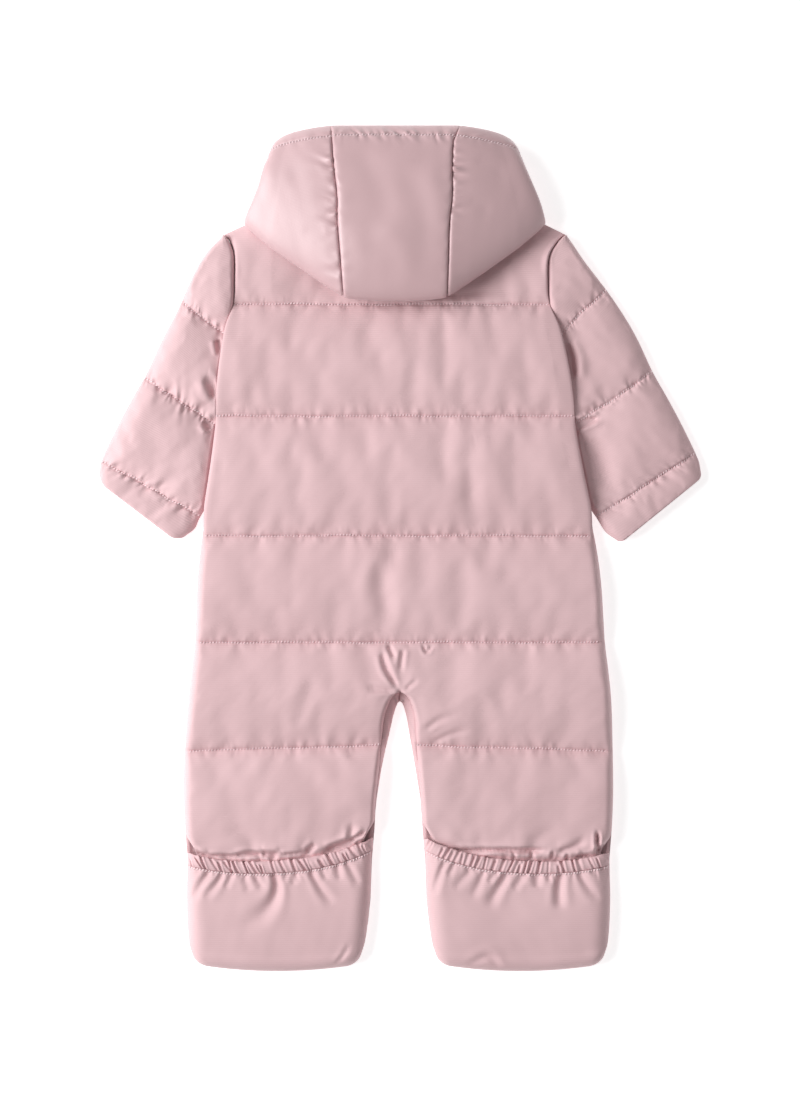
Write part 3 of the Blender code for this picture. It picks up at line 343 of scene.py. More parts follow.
def addObject(name, data):
    item = bpy.data.objects.new(name, data)
    bpy.context.scene.collection.objects.link(item)
    return item


def dress(mesh, flat, material, sharp):
    # the run of the weave, the cloth and the shading
    layer = mesh.uv_layers.new(name="cloth")
    corner = np.empty(len(mesh.loops), dtype=np.int32)
    mesh.loops.foreach_get("vertex_index", corner)
    layer.data.foreach_set("uv", flat[corner].astype(np.float32).ravel())
    mesh.materials.append(material)
    mesh.shade_smooth()
    mesh.set_sharp_from_angle(angle=math.radians(sharp))
    mesh.update()


def wallObject(name, outer, inner, material, flip=False, uv=None, columnStops=None, gap=None, weld=()):
    # closed wall between a fine outer sheet and a coarser inner one, joined along every open edge
    rows, columns = outer.shape[:2]
    index = np.arange(rows * columns).reshape(rows, columns)
    for rowRange, source, target in weld:
        index[rowRange, source] = index[rowRange, target]
    rowStops, columnStops = stops(rows), columnStops or stops(columns)
    fine = np.zeros((rows - 1, columns - 1), bool)
    lining, paths = [], {}
    for r0, r1 in zip(rowStops, rowStops[1:]):
        for j, (c0, c1) in enumerate(zip(columnStops, columnStops[1:])):
            if j == gap:
                continue
            fine[r0:r1, c0:c1] = True
            cell = index[r0:r1 + 1, c0:c1 + 1]
            lanes = [lane.tolist() for lane in (cell[:, 0], cell[-1], cell[::-1, -1], cell[0, ::-1])]
            lining.append([lane[0] for lane in lanes])
            paths.update({(lane[0], lane[-1]): lane for lane in lanes})
    quads = np.stack([index[:-1, :-1], index[1:, :-1], index[1:, 1:], index[:-1, 1:]], axis=-1)[fine]
    offset = rows * columns
    rim = [lane[::-1] + [a + offset, b + offset] for (a, b), lane in paths.items() if (b, a) not in paths]
    allFaces = quads.tolist() + [[k + offset for k in reversed(face)] for face in lining] + rim
    if flip:
        allFaces = [face[::-1] for face in allFaces]
    points = np.concatenate([outer.reshape(-1, 3), inner.reshape(-1, 3)])
    used = sorted({k for face in allFaces for k in face})
    place = np.full(len(points), -1)
    place[used] = np.arange(len(used))
    mesh = bpy.data.meshes.new(name)
    mesh.from_pydata((points[used] * mm).tolist(), [], [place[face].tolist() for face in allFaces])
    flat = (outer[:, :, :2] if uv is None else uv).reshape(-1, 2)
    dress(mesh, np.concatenate([flat, flat])[used] * mm, material, 70)
    return addObject(name, mesh)


def runAlong(grid, axis):
    # distance of every point from the first one, down the columns or along the rows
    steps = np.linalg.norm(np.diff(grid, axis=axis), axis=2)
    return np.insert(np.cumsum(steps, axis=axis), 0, 0.0, axis=axis)


def lengthsAlong(grid):
    # distances along a grid's rows and columns, for the run of the weave
    middle = runAlong(grid, 0)[:, grid.shape[1] // 2][:, None]
    return runAlong(grid, 1), np.repeat(middle, grid.shape[1], axis=1)


def mirroredX(grid):
    return grid * np.array([-1.0, 1.0, 1.0])


# how far the cloth has slid sideways where it was laid down: y, shift of x
layShift = [
    (-80.0, 0.0), (20.0, -2.0), (100.0, -3.7), (150.0, -5.0), (200.0, -6.8), (240.0, -7.0), (262.0, -4.5),
    (290.0, -3.2), (352.0, -3.2),
]
hoodShift = [(200.0, -3.8), (240.0, -4.1), (271.0, -4.3), (290.0, -3.2), (318.0, -4.6), (352.0, -4.6)]
leftLegShift = -2.6


def laid(grid, whole=0.0, table=layShift):
    # whole is 1 where a point slides by all of the shift, wherever it is
    x = np.abs(grid[..., 0])
    part = smooth(20.0, 110.0, x) * smooth(195.0, 150.0, x)
    moved = grid.copy()
    moved[..., 0] += curveAt(table, grid[..., 1]) * np.maximum(part, whole)
    moved[..., 0] += leftLegShift * smooth(-110.0, -190.0, grid[..., 1]) * smooth(-1.0, -11.0, grid[..., 0])
    return moved


def laidPair(outer, inner, sideName, *slide):
    if sideName == "left":
        outer, inner = mirroredX(outer), mirroredX(inner)
    return laid(outer, *slide), laid(inner, *slide)


# materials

def setInputs(tree, node, values):
    # each input takes a value or another node's output
    for key, value in values.items():
        if isinstance(value, bpy.types.NodeSocket):
            tree.links.new(value, node.inputs[key])
        else:
            node.inputs[key].default_value = value


def addNode(tree, kind, values, **fields):
    node = tree.nodes.new(kind)
    for key, value in fields.items():
        setattr(node, key, value)
    setInputs(tree, node, values)
    return node


def newGroup(name, kind, inputs, outputs):
    # a node group with named sockets, each with its first value or its kind
    tree = bpy.data.node_groups.new(name, kind)
    for way, sockets in (("INPUT", inputs), ("OUTPUT", outputs)):
        for key, value in sockets.items():
            kindOf = value if isinstance(value, str) else "Int" if isinstance(value, int) else "Float"
            socket = tree.interface.new_socket(name=key, in_out=way, socket_type="NodeSocket" + kindOf)
            if kindOf != value:
                socket.default_value = value
    return tree, tree.nodes.new("NodeGroupInput").outputs, tree.nodes.new("NodeGroupOutput").inputs


def buildWeaveGroup():
    # threads over and under, with faint crosswise ribs; gives a height and a shade
    sizes = {"Vector": "Vector", "Threads per metre": 2200.0, "Rib spacing": 0.0017, "Ribs": 0.5}
    tree, given, result = newGroup("weaveRelief", "ShaderNodeTree", sizes, {"Height": 0.0, "Shade": 0.0})
    split = addNode(tree, "ShaderNodeSeparateXYZ", {0: given["Vector"]}).outputs

    def formula(kind, a, b=None):
        values = {0: a} if b is None else {0: a, 1: b}
        return addNode(tree, "ShaderNodeMath", values, operation=kind).outputs[0]

    turn = formula("MULTIPLY", given["Threads per metre"], math.pi)
    warp, weft = (formula("SINE", formula("MULTIPLY", split[axis], turn)) for axis in "XY")
    values = {"Vector": given["Vector"], "Scale": 60.0, "Detail": 3.0}
    noise = addNode(tree, "ShaderNodeTexNoise", values).outputs["Fac"]
    ribTurn = formula("DIVIDE", math.tau, given["Rib spacing"])
    rib = formula("SINE", formula("ADD", formula("MULTIPLY", split["Y"], ribTurn), formula("MULTIPLY", noise, 5.0)))
    ribs = formula("MULTIPLY", formula("MULTIPLY", rib, noise), given["Ribs"])
    cross = formula("MULTIPLY", formula("MULTIPLY", warp, weft), 0.3)
    tree.links.new(formula("ADD", cross, ribs), result["Height"])
    tree.links.new(formula("ADD", formula("MULTIPLY", ribs, 0.5), 0.5), result["Shade"])
    return tree


def buildMottleGroup():
    # slow soft change of tone over a piece
    tree, given, result = newGroup("toneDrift", "ShaderNodeTree", {"Vector": "Vector", "Scale": 14.0}, {"Fac": 0.0})
    values = {"Vector": given["Vector"], "Scale": given["Scale"], "Detail": 2.5}
    tree.links.new(addNode(tree, "ShaderNodeTexNoise", values).outputs["Fac"], result["Fac"])
    return tree


weaveGroup = buildWeaveGroup()
mottleGroup = buildMottleGroup()


def newMaterial(name, look, driftScale):
    # a material, its tree and shader, the drift over the piece and the colour between the look's two tones
    material = bpy.data.materials.new(name)
    material.use_nodes = True
    tree = material.node_tree
    place = addNode(tree, "ShaderNodeTexCoord", {}).outputs["Object"]
    drift = addNode(tree, "ShaderNodeGroup", {}, node_tree=mottleGroup)
    setInputs(tree, drift, {"Vector": place, "Scale": driftScale})
    tones = {"A": (*look["dark"], 1.0), "B": (*look["light"], 1.0)}
    tone = addNode(tree, "ShaderNodeMix", tones, data_type="RGBA")
    tree.links.new(tone.outputs["Result"], tree.nodes["Principled BSDF"].inputs["Base Color"])
    return material, tree, tree.nodes["Principled BSDF"], drift.outputs["Fac"], tone


def clothMaterial(name, look):
    material, tree, shader, drift, tone = newMaterial(name, look, look["driftScale"])
    uv = addNode(tree, "ShaderNodeUVMap", {}, uv_map="cloth").outputs["UV"]
    weave = addNode(tree, "ShaderNodeGroup", {}, node_tree=weaveGroup)
    setInputs(tree, weave, {"Vector": uv, "Threads per metre": look["threads"], "Ribs": look["ribs"]})
    low, high = 0.2 - look["ribTone"] * 0.5, 0.8 - look["ribTone"] * 0.5
    steps = {"Value": drift, "From Min": 0.3, "From Max": 0.7, "To Min": low, "To Max": high}
    soft = addNode(tree, "ShaderNodeMapRange", steps).outputs["Result"]
    shares = {0: weave.outputs["Shade"], 1: look["ribTone"], 2: soft}
    tree.links.new(addNode(tree, "ShaderNodeMath", shares, operation="MULTIPLY_ADD").outputs[0], tone.inputs["Factor"])
    steps = {"Value": drift, "To Min": look["rough"] - 0.04, "To Max": look["rough"] + 0.04}
    rough = addNode(tree, "ShaderNodeMapRange", steps).outputs["Result"]
    relief = {"Strength": look["bump"], "Distance": look["bumpDistance"], "Height": weave.outputs["Height"]}
    setInputs(tree, shader, {
        "Roughness": rough, "Normal": addNode(tree, "ShaderNodeBump", relief).outputs["Normal"],
        "Sheen Weight": look["sheen"], "Sheen Roughness": 0.35, "Sheen Tint": look["sheenTint"],
        "Specular IOR Level": look["specular"],
    })
    return material


def plainMaterial(name, dark, light, rough, metallic=0.0, scale=220.0, bump=0.12):
    material, tree, shader, drift, tone = newMaterial(name, {"dark": dark, "light": light}, scale)
    relief = addNode(tree, "ShaderNodeBump", {"Strength": bump, "Distance": 0.0002, "Height": drift}).outputs["Normal"]
    tree.links.new(drift, tone.inputs["Factor"])
    setInputs(tree, shader, {"Roughness": rough, "Metallic": metallic, "Normal": relief})
    return material


clothLook = {
    "dark": (0.668, 0.448, 0.466), "light": (0.735, 0.505, 0.525), "threads": 1900.0, "ribs": 1.1,
    "ribTone": 0.75, "driftScale": 9.0, "rough": 0.66, "bump": 0.38, "bumpDistance": 0.00016,
    "sheen": 0.22, "sheenTint": (1.0, 0.93, 0.93, 1.0), "specular": 0.36,
}
hoodLook = dict(clothLook, dark=(0.588, 0.386, 0.403), light=(0.640, 0.433, 0.452), rough=0.44, ribTone=0.12, ribs=0.2,
                sheen=0.3, sheenTint=(1.0, 0.98, 0.99, 1.0), specular=0.85)
bandLook = dict(clothLook, dark=(0.660, 0.435, 0.455), light=(0.735, 0.500, 0.520))
tapeLook = dict(clothLook, dark=(0.56, 0.36, 0.38), light=(0.62, 0.41, 0.43), threads=1400.0, ribs=0.2, rough=0.75)

shellCloth = clothMaterial("shellCloth", clothLook)
hoodCloth = clothMaterial("hoodCloth", hoodLook)
bandCloth = clothMaterial("bandCloth", bandLook)
tapeCloth = clothMaterial("tapeCloth", tapeLook)
sewingThread = plainMaterial("sewingThread", (0.81, 0.64, 0.665), (0.89, 0.73, 0.755), 0.5, bump=0.3, scale=900.0)
zipPlastic = plainMaterial("zipPlastic", (0.52, 0.33, 0.35), (0.58, 0.38, 0.40), 0.38)
zipMetal = plainMaterial("zipMetal", (0.55, 0.50, 0.50), (0.66, 0.61, 0.61), 0.3, metallic=1.0)
glowingFloorPaper = plainMaterial("glowingFloorPaper", (0.86, 0.86, 0.86), (0.88, 0.88, 0.88), 0.9, scale=3.0, bump=0.0)
floorShader = glowingFloorPaper.node_tree.nodes["Principled BSDF"]
# painted light: the floor glows white, which lifts the shadow the garment casts on it and lights the garment's edges
# from below
floorShader.inputs["Emission Color"].default_value = (1.0, 1.0, 1.0, 1.0)
floorShader.inputs["Emission Strength"].default_value = 0.6
print("materials built")

# stitches and zip teeth

stitchSizes = {"spacing": 2.6, "size": (1.0, 1.0, 2.7), "slant": 0.75, "wobble": 0.14, "seed": 5, "lift": 0.4}
zipSizes = {"spacing": 1.5, "size": (3.1, 2.9, 1.15), "across": 1.35, "z": 4.0, "from": -74.0, "to": 239.0}
stitchLines = []


def seamPath(grid, d, columns):
    # points of a grid where the distance to a stitched line is nothing
    points = []
    for c in columns:
        r = int(np.argmin(np.abs(d[:, c])))
        other = r + 1 if r + 1 < len(d) and d[r, c] * d[r + 1, c] < 0 else r - 1
        share = d[r, c] / (d[r, c] - d[other, c]) if d[r, c] != d[other, c] else 0.0
        points.append(mix(grid[r, c], grid[other, c], min(max(share, 0.0), 1.0)))
    return np.array(points)


def buildRowTree():
    # small round solids one after another along wires
    sizes = {"Spacing": 0.0033, "Length": 0.0023, "Width": 0.0006, "Depth": 0.0006, "Wobble": 0.1, "Slant": 0.5}
    sizes = {"Geometry": "Geometry", **sizes, "Seed": 1, "Material": "Material"}
    tree, given, result = newGroup("stitchRow", "GeometryNodeTree", sizes, {"Geometry": "Geometry"})

    def made(kind, output, values, **fields):
        return addNode(tree, kind, values, **fields).outputs[output]

    wire = made("GeometryNodeMeshToCurve", 0, {0: given["Geometry"]})
    marks = addNode(tree, "GeometryNodeCurveToPoints", {}, mode="LENGTH")
    setInputs(tree, marks, {"Curve": wire, "Length": given["Spacing"]})
    size = made("ShaderNodeCombineXYZ", 0, {"X": given["Width"], "Y": given["Depth"], "Z": given["Length"]})
    turned = {"Vector": marks.outputs["Tangent"], "Axis": (0.0, 0.0, 1.0), "Angle": given["Slant"]}
    lean = made("ShaderNodeVectorRotate", "Vector", turned)
    heading = made("FunctionNodeAlignRotationToVector", "Rotation", {"Vector": lean}, axis="Z")
    least = made("ShaderNodeMath", 0, {0: given["Wobble"], 1: -1.0}, operation="MULTIPLY")
    limits = {"Min": least, "Max": given["Wobble"], "Seed": given["Seed"]}
    jitter = made("FunctionNodeRandomValue", "Value", limits, data_type="FLOAT_VECTOR")
    ball = made("GeometryNodeMeshIcoSphere", "Mesh", {"Radius": 0.5, "Subdivisions": 1})
    row = {"Points": marks.outputs["Points"], "Instance": ball, "Rotation": heading, "Scale": size}
    row = {"Instances": made("GeometryNodeInstanceOnPoints", 0, row), "Rotation": jitter}
    row = made("GeometryNodeRealizeInstances", 0, {0: made("GeometryNodeRotateInstances", 0, row)})
    paint = {"Geometry": row, "Material": given["Material"]}
    tree.links.new(made("GeometryNodeSetMaterial", 0, paint), result["Geometry"])
    return tree


rowTree = buildRowTree()


def rowMesh(name, lines, sizes, material):
    # runs the tree on wires and keeps its result as a plain mesh
    points, edges = [], []
    for line in lines:
        edges += [(k, k + 1) for k in range(len(points), len(points) + len(line) - 1)]
        points += [tuple(np.array(point) * mm) for point in line]
    wire = bpy.data.meshes.new(name + "_path")
    wire.from_pydata(points, edges, [])
    carrier = addObject(name + "_path", wire)
    modifier = carrier.modifiers.new("rows", "NODES")
    modifier.node_group = rowTree
    sockets = {item.name: item.identifier for item in rowTree.interface.items_tree if item.in_out == "INPUT"}
    width, depth, length = sizes["size"]
    values = {
        "Spacing": sizes["spacing"] * mm, "Width": width * mm, "Depth": depth * mm, "Length": length * mm,
        "Wobble": sizes.get("wobble", 0.0), "Slant": sizes.get("slant", 0.0), "Seed": sizes.get("seed", 1),
        "Material": material,
    }
    for key, value in values.items():
        modifier[sockets[key]] = value
    mesh = bpy.data.meshes.new_from_object(carrier.evaluated_get(bpy.context.evaluated_depsgraph_get()))
    mesh.name = name
    bpy.data.objects.remove(carrier, do_unlink=True)
    mesh.shade_smooth()
    return addObject(name, mesh)


def makeTeeth():
    # two rows of moulded teeth that meet on the centre line, half a pitch apart
    z = zipSizes
    starts = ((-z["across"], z["from"]), (z["across"], z["from"] + 0.5 * z["spacing"]))
    return rowMesh("zip_teeth", [[(x, y, z["z"]), (x, z["to"], z["z"])] for x, y in starts], z, zipPlastic)


def makeStitching():
    lines = [line + np.array([0, 0, stitchSizes["lift"]]) for line in stitchLines]
    return rowMesh("stitching", lines, stitchSizes, sewingThread)


# back

backSizes = {
    "columns": 126,  # cells across half of the back
    "neckCrown": 15.0,
    "shoulderCrown": 19.5,
    "sideRound": 9.5,
    "inseamRound": 5.0,
    "overhang": 6.5,
    "groove": (1.1, 0.7),  # width and depth along a stitched line
    "folds": 0.75,
    "creases": 0.45,
    "waves": [(0.35, 60.0), (0.09, 21.0), (0.04, 8.0)],  # height and size
    "sunk": {"from": (40.0, 206.0), "heading": (0.603, 0.798), "depth": 7.0, "width": 24.0},
    # seed, spacing, depth, reach
    "linePuckers": [(20, 4.2, 0.8, 3.2), (40, 13.0, 1.0, 9.0)],
    "hemPuckers": [(60, 6.5, 1.6, 5.0), (61, 18.0, 2.0, 14.0)],
    "seamGroove": 2.4,
    # share of the way from the leg line to the band, crown, inset of the edges
    "shin": [
        (0.0, 14.0, 0.0), (0.08, 18.5, 0.0), (0.3, 22.0, 0.0), (0.55, 22.5, 0.0), (0.8, 21.0, 0.0),
        (0.93, 19.0, 0.0), (1.0, 13.4, 7.5),
    ],
    "hem": [(0.0, 13.4, 7.5), (9.0, 11.4, 8.5), (24.0, 11.0, 8.5)],
}

# x0, y0, x1, y1, bend, width, height
backCreases = [
    # yoke, beside the hood
    (-120, 214, -106, 250, 2, 6, -1.6), (-100, 212, -84, 240, -2, 6, 1.0), (-84, 208, -72, 232, 2, 5, -1.3),
    (-68, 208, -60, 226, 1, 4, -0.9), (118, 212, 106, 246, 3, 6, -1.4), (98, 210, 88, 236, 0, 6, -1.2),
    (72, 208, 66, 230, 0, 5, 0.9), (128, 214, 122, 236, 0, 4, 0.8),
    # first channel
    (-118, 120, -104, 152, 3, 7, -1.4), (-92, 176, -66, 140, 4, 9, -1.2), (-60, 184, -52, 128, -5, 8, 1.0),
    (-34, 190, -12, 132, 5, 8, -1.6), (-8, 188, 6, 150, 0, 7, 1.1), (14, 190, 4, 122, 4, 7, -1.3),
    (36, 190, 42, 130, -3, 8, -1.1), (58, 180, 66, 126, 4, 8, 0.9), (92, 150, 112, 122, 3, 7, -1.2),
    (114, 178, 128, 140, -4, 8, 0.9), (-132, 170, -128, 126, 2, 6, 1.0),
    # second channel
    (-128, 96, -112, 62, 4, 8, -1.6), (-104, 98, -86, 44, -4, 9, 1.1), (-72, 92, -40, 40, 6, 9, -1.5),
    (-30, 98, -22, 52, 3, 8, -1.2), (-6, 92, 22, 38, 5, 9, 1.1), (34, 100, 48, 50, -4, 8, -1.4),
    (72, 84, 84, 30, 5, 9, 1.0), (98, 98, 112, 46, 5, 8, -1.3), (128, 92, 138, 40, -3, 7, 1.0),
    (-146, 80, -150, 30, 2, 6, -1.0),
    # third channel
    (-136, 0, -120, -50, 5, 9, -1.4), (-96, 2, -78, -46, -4, 9, 1.0), (-58, -4, -34, -56, 5, 9, -1.3),
    (-14, 0, -8, -40, 3, 8, 1.1), (16, -10, 30, -62, -4, 8, -1.2), (52, 0, 66, -40, 4, 9, 0.9),
    (84, -12, 102, -62, 5, 9, -1.3), (124, 0, 138, -48, -4, 8, 1.0),
    # seat
    (48, -90, 12, -120, -4, 7, -1.0), (-132, -96, -128, -146, 4, 8, 1.0), (98, -94, 82, -140, -5, 9, -1.0),
    (136, -92, 130, -148, -3, 8, 0.9), (-40, -128, -28, -158, 3, 7, 0.8),
    # shins
    (-150, -178, -132, -236, 5, 9, -1.5), (-112, -172, -98, -222, -5, 10, 1.1), (-74, -176, -62, -240, 4, 9, -1.4),
    (-40, -172, -34, -220, 2, 8, 1.0), (-30, -214, -52, -244, -3, 6, -1.6), (-138, -232, -118, -252, 5, 6, -2.2),
    (-96, -236, -64, -250, -4, 6, 1.4), (150, -178, 136, -236, -5, 9, -1.4), (112, -172, 100, -224, 5, 10, 1.0),
    (72, -176, 62, -238, -4, 9, -1.3), (40, -172, 34, -216, -2, 8, 1.0), (34, -218, 56, -246, 3, 6, -1.5),
    (132, -230, 108, -252, -5, 6, -1.8), (94, -238, 70, -252, 4, 6, 1.3),
]


# folds drawn to the crotch, beside the inseam and down the seat: x, y, width, height along each
seatFolds = [
    [(-15, -85, 2.4, -1.6), (-11, -99, 2.4, -3.4), (-2, -114, 1.6, -2.6)],
    [(-9.5, -79, 1.8, -2.4), (-5, -90, 2.0, -2.0)],
    [(2.5, -83, 1.8, -2.0), (0, -100, 2.0, -2.2)], [(5, -115.5, 1.3, -1.4), (15, -107, 2.2, -0.8)],
    [(-6, -117, 1.8, -1.4), (-28, -114, 3.4, -1.0)],
    [(19, -79, 1.2, -1.6), (22, -84.5, 1.3, -2.2), (27, -79.5, 1.2, -1.8)],
    [(21, -149, 2.2, -1.0), (34, -140, 2.8, -1.0), (52, -135, 3.6, -0.3)],
    [(27, -161, 2.0, -1.2), (42, -153, 2.6, -1.0), (60, -149, 3.4, -0.3)],
    [(-5, 4, 6.0, -0.9), (-13, -25, 8.5, -2.2), (-8, -64, 6.0, -1.4)],
    [(66, 96, 6.0, -0.8), (58, 70, 8.0, -1.3), (62, 30, 6.0, -0.8)],
]

# hollows of the leg hems over the elastics: x, y, width, height along each
hemFolds = [
    [(-167, -253, 2.4, -5.0), (-158, -255, 2.4, -5.0)], [(-156, -254, 1.6, -3.0), (-132, -254.8, 1.6, -3.0)],
    [(-134, -254, 1.8, -4.0), (-122, -252.4, 2.2, -4.5), (-110, -253, 1.8, -4.0)],
    [(-112, -252.6, 2.6, -5.0), (-98, -253.6, 2.6, -5.0)], [(-96, -253, 1.4, -2.6), (-78, -251.8, 1.4, -2.6)],
    [(-68, -244, 2.0, -2.0), (-75, -252.5, 2.6, -4.5)],
    [(-59, -250.0, 2.4, -4.6), (-47, -245.5, 2.8, -5.2), (-36, -241.0, 2.6, -5.4)],
    [(-39, -242, 1.6, -4.0), (-26, -233, 1.6, -3.0)], [(-24, -243, 2.2, -5.0), (-21, -235, 2.0, -4.0)],
    [(-176, -242, 1.6, -3.0), (-169.5, -255, 1.8, -4.0)], [(-39, -240, 2.4, -2.4), (-37, -226, 3.0, -1.0)],
    [(20, -237, 1.6, -3.0), (28, -244, 1.7, -4.0), (40, -249, 1.5, -3.0)],
    [(42, -249.2, 1.8, -3.6), (62, -250, 2.0, -4.4), (84, -249, 1.9, -4.4), (104, -250, 2.4, -6.0),
     (122, -249.6, 2.2, -5.4)],
    [(132, -250.5, 2.4, -3.2), (144, -246, 2.6, -2.0), (156, -238.5, 3.0, -1.0)],
    [(94.6, -251, 1.4, -1.8), (95, -258, 1.4, -1.8)], [(110, -251, 1.6, -3.0), (109, -258, 1.6, -3.0)],
    [(127, -250, 1.5, -2.6), (126, -258, 1.5, -2.6)], [(138.6, -252, 1.4, -2.0), (139, -259, 1.4, -2.4)],
    [(146, -255.5, 2.0, -4.0), (160, -254.5, 2.0, -4.0)], [(163.5, -234, 1.6, -4.5), (164.5, -252, 1.8, -6.0)],
    [(163, -252, 2.6, -6.0), (172, -246, 2.6, -5.0)],
]


def crotchShare(outerY):
    top = suit["quiltLines"][3]
    low = suit["quiltLines"][4] - suit["legLineTilt"]
    return np.interp(-outerY, [-top, 139.5, 160.3, -low], [0.0, 0.7125, 0.92, 1.0])


def seamGroove(y):
    # the seam beside the inseam lies in a narrow groove
    return backSizes["seamGroove"] * smooth(-119.0, -124.0, y) * smooth(-236.0, -205.0, y)


def legLineAt(across):
    return mix(suit["quiltLines"][4] + suit["legLineTilt"], suit["quiltLines"][4] - suit["legLineTilt"], across)


def backRow(kind, value, c):
    # points across half of the back at one row, outside and inside
    b, q, lining = backSizes, suit["quiltLines"], suit["backInnerZ"]
    seam, inset = None, 0.0
    if kind == "yoke":
        sideY = mix(suit["neckline"][-1][1], q[0], value)
    elif kind == "shin":
        table, amount = (b["shin"], value) if value <= 1.0 else (b["hem"], (value - 1.0) * 100.0)
        crown = curveAt(table, amount)
        inset = lineAt(table, amount, 2) if value > 1.0 else 7.5 * smooth(0.8, 1.0, value)

        def rowY(x, across):
            return bandAt(x) - amount if value > 1.0 else mix(legLineAt(across), bandAt(x), amount)

        sideY, seamY = rowY(174.5, 1.0), rowY(suit["band"][0][0], 0.0)
        seam = (inseamAt(seamY) + inseamAt(seamY, 2) + inset, seamY, inseamAt(seamY, 3))
    else:
        sideY = value
        if value < suit["crotchY"] - 1e-6:
            seam = [curveAt(suit["crotch"], value, k) for k in (1, 2, 3)]
    side = sideAt(sideY) - inset
    seamX = seam[0] if seam else 0.0
    x = seamX + (side - seamX) * c
    if kind == "yoke":
        topY = lineAt(suit["neckline"], c * suit["neckline"][-1][0])
        y = mix(topY, q[0], value)
        peak = mix(b["neckCrown"], b["shoulderCrown"], np.clip((x - 60.0) / 40.0, 0.0, 1.0))
        crown = mix(mix(b["neckCrown"], suit["stitchZ"], value), peak, puff(0.1 + 0.9 * value))
    elif kind == "shin":
        y = rowY(x, c)
    else:
        y = mix(seam[1], value, c) if seam else value + 0.0 * x
        k = max(i for i in range(4) if value <= q[i] + 1e-6)
        share = crotchShare(value) if k == 3 else (q[k] - value) / (q[k] - q[k + 1])
        crown = mix(suit["stitchZ"], suit["crownZ"], puff(share, suit["puffPower"]))
    openSide, near = lineAt(suit["armhole"], sideY), side - x
    edgeZ, lowZ = mix(lipZ, suit["armholeZ"], openSide), mix(lipZ, lining, openSide)
    z = mix(edgeZ, crown, softRise(near, mix(b["sideRound"], 6.0, smooth(180.0, 205.0, sideY))))
    tuck = smooth(2.0, 40.0, sideY) * mix(0.25, 1.0, smooth(215.0, 185.0, sideY)) * smooth(263.0, 250.0, sideY)
    overhang = b["overhang"] * tuck * np.sin(np.pi * np.clip(near / 9.0, 0.0, 1.0))
    depth = lip(near, openSide)
    inX, inY = np.where(near < 14.0, side - depth, x), y
    inZ = np.where(near < 14.0, mix(lowZ, lining, roundRise(depth - suit["edgeWall"], 6.0)), lining)
    if kind == "yoke":
        drop, shoulder = topY - y, x >= 61.0
        z = mix(np.where(shoulder, lipZ, 11.5), z, roundRise(drop, suit["edgeRound"]))
        atTop, depth = shoulder & (drop < 14.0), lip(drop)
        inY = np.where(atTop, topY - depth, y)
        inZ = np.where(atTop, mix(lipZ, inZ, roundRise(depth - suit["edgeWall"], 6.0)), inZ)
    if seam:
        edgeZ, off = seam[2] + suit["seamGap"] / 2, x - seamX
        z = mix(edgeZ, z, softRise(off, b["inseamRound"]))
        z[0] -= seamGroove(sideY if kind != "shin" else seam[1])
        depth, level = lip(off), suit["edgeWall"] if seam[2] < 10.0 else 7.5
        inX = np.where(off < 14.0, seamX + depth, inX)
        inZ = np.where(off < 14.0, mix(edgeZ, inZ, roundRise(depth - level, 9.0)), inZ)
    elif kind == "body" and value > suit["crotchY"] - 1e-6:
        z = mix(12.0 + suit["seamGap"] / 2, z, softRise(np.hypot(x, y - suit["crotchY"]), b["inseamRound"]))
        if abs(value - suit["crotchY"]) < 0.01:
            inY = y + suit["edgeWall"] * (np.arange(len(y)) == 0)
    return np.stack([x + overhang, y, z], -1), np.stack([inX, inY, inZ], -1)


def backRows():
    # the rows from the neck to the leg hems, and the number of the one at the crotch
    q, crotchY = suit["quiltLines"], suit["crotchY"]
    rows = [("yoke", s) for s in trimTo(channelShares(58.6), 3)]
    for top, low in [*zip(q[:3], q[1:4]), (q[3], crotchY)]:
        rows += [("body", mix(top, low, s)) for s in channelShares(top - low)]
    while len(rows) % 3:
        rows.insert(3, ("yoke", mix(rows[2][1], rows[3][1], 0.5)))
    apex = len(rows)
    drops = np.cumsum([0.0, 0.25, 0.35, 0.5, 0.7, 0.9, 1.0] + [1.3] * 8)
    rows += [("body", crotchY - d) for d in drops]
    last, low = crotchY - drops[-1], q[4] - suit["legLineTilt"]
    steps = int(round((last - low) / 1.5))
    rows += [("body", mix(last, low, (i + 1) / steps)) for i in range(steps - 1)]
    rows += [("shin", s) for s in [*channelShares(93.0, band=14.0), 1.0, 1.03, 1.06, 1.09, 1.16, 1.24]]
    while (len(rows) - 1 - apex) % 3:
        rows.insert(len(rows) - 2, ("shin", mix(rows[-3][1], rows[-2][1], 0.5)))
    return rows, apex


def lineDistance(x, y, number):
    # distance above a stitched line, which wanders a little
    wander = 0.45 * np.sin(x / 19.0 + 2.0 * number) + 0.3 * np.sin(x / 7.3 + number)
    if number < 4:
        return y - suit["quiltLines"][number] - wander
    return y - legLineAt(np.clip((np.abs(x) - 13.0) / 164.0, 0.0, 1.0)) - wander


def backRelief(x, y):
    # puckers at the stitch lines, soft creases and a light unevenness
    b = backSizes
    rise = b["creases"] * creaseRise(x, y, backCreases)
    rise += ripples(x, y, 3, *b["waves"])
    for number in range(5):
        d = lineDistance(x, y, number)
        rise += grooveRise(d, *b["groove"])
        for seed, *size in b["linePuckers"]:
            rise += puckerRise(x, d, suitSpan, seed + number, *size)
    above = y - bandAt(np.abs(x))
    for seed, *size in b["hemPuckers"]:
        rise += puckerRise(x, above, suitSpan, seed, *size, sides=(1,))
    return rise + (foldRise(x, y, hemFolds) + foldRise(x, y, seatFolds))


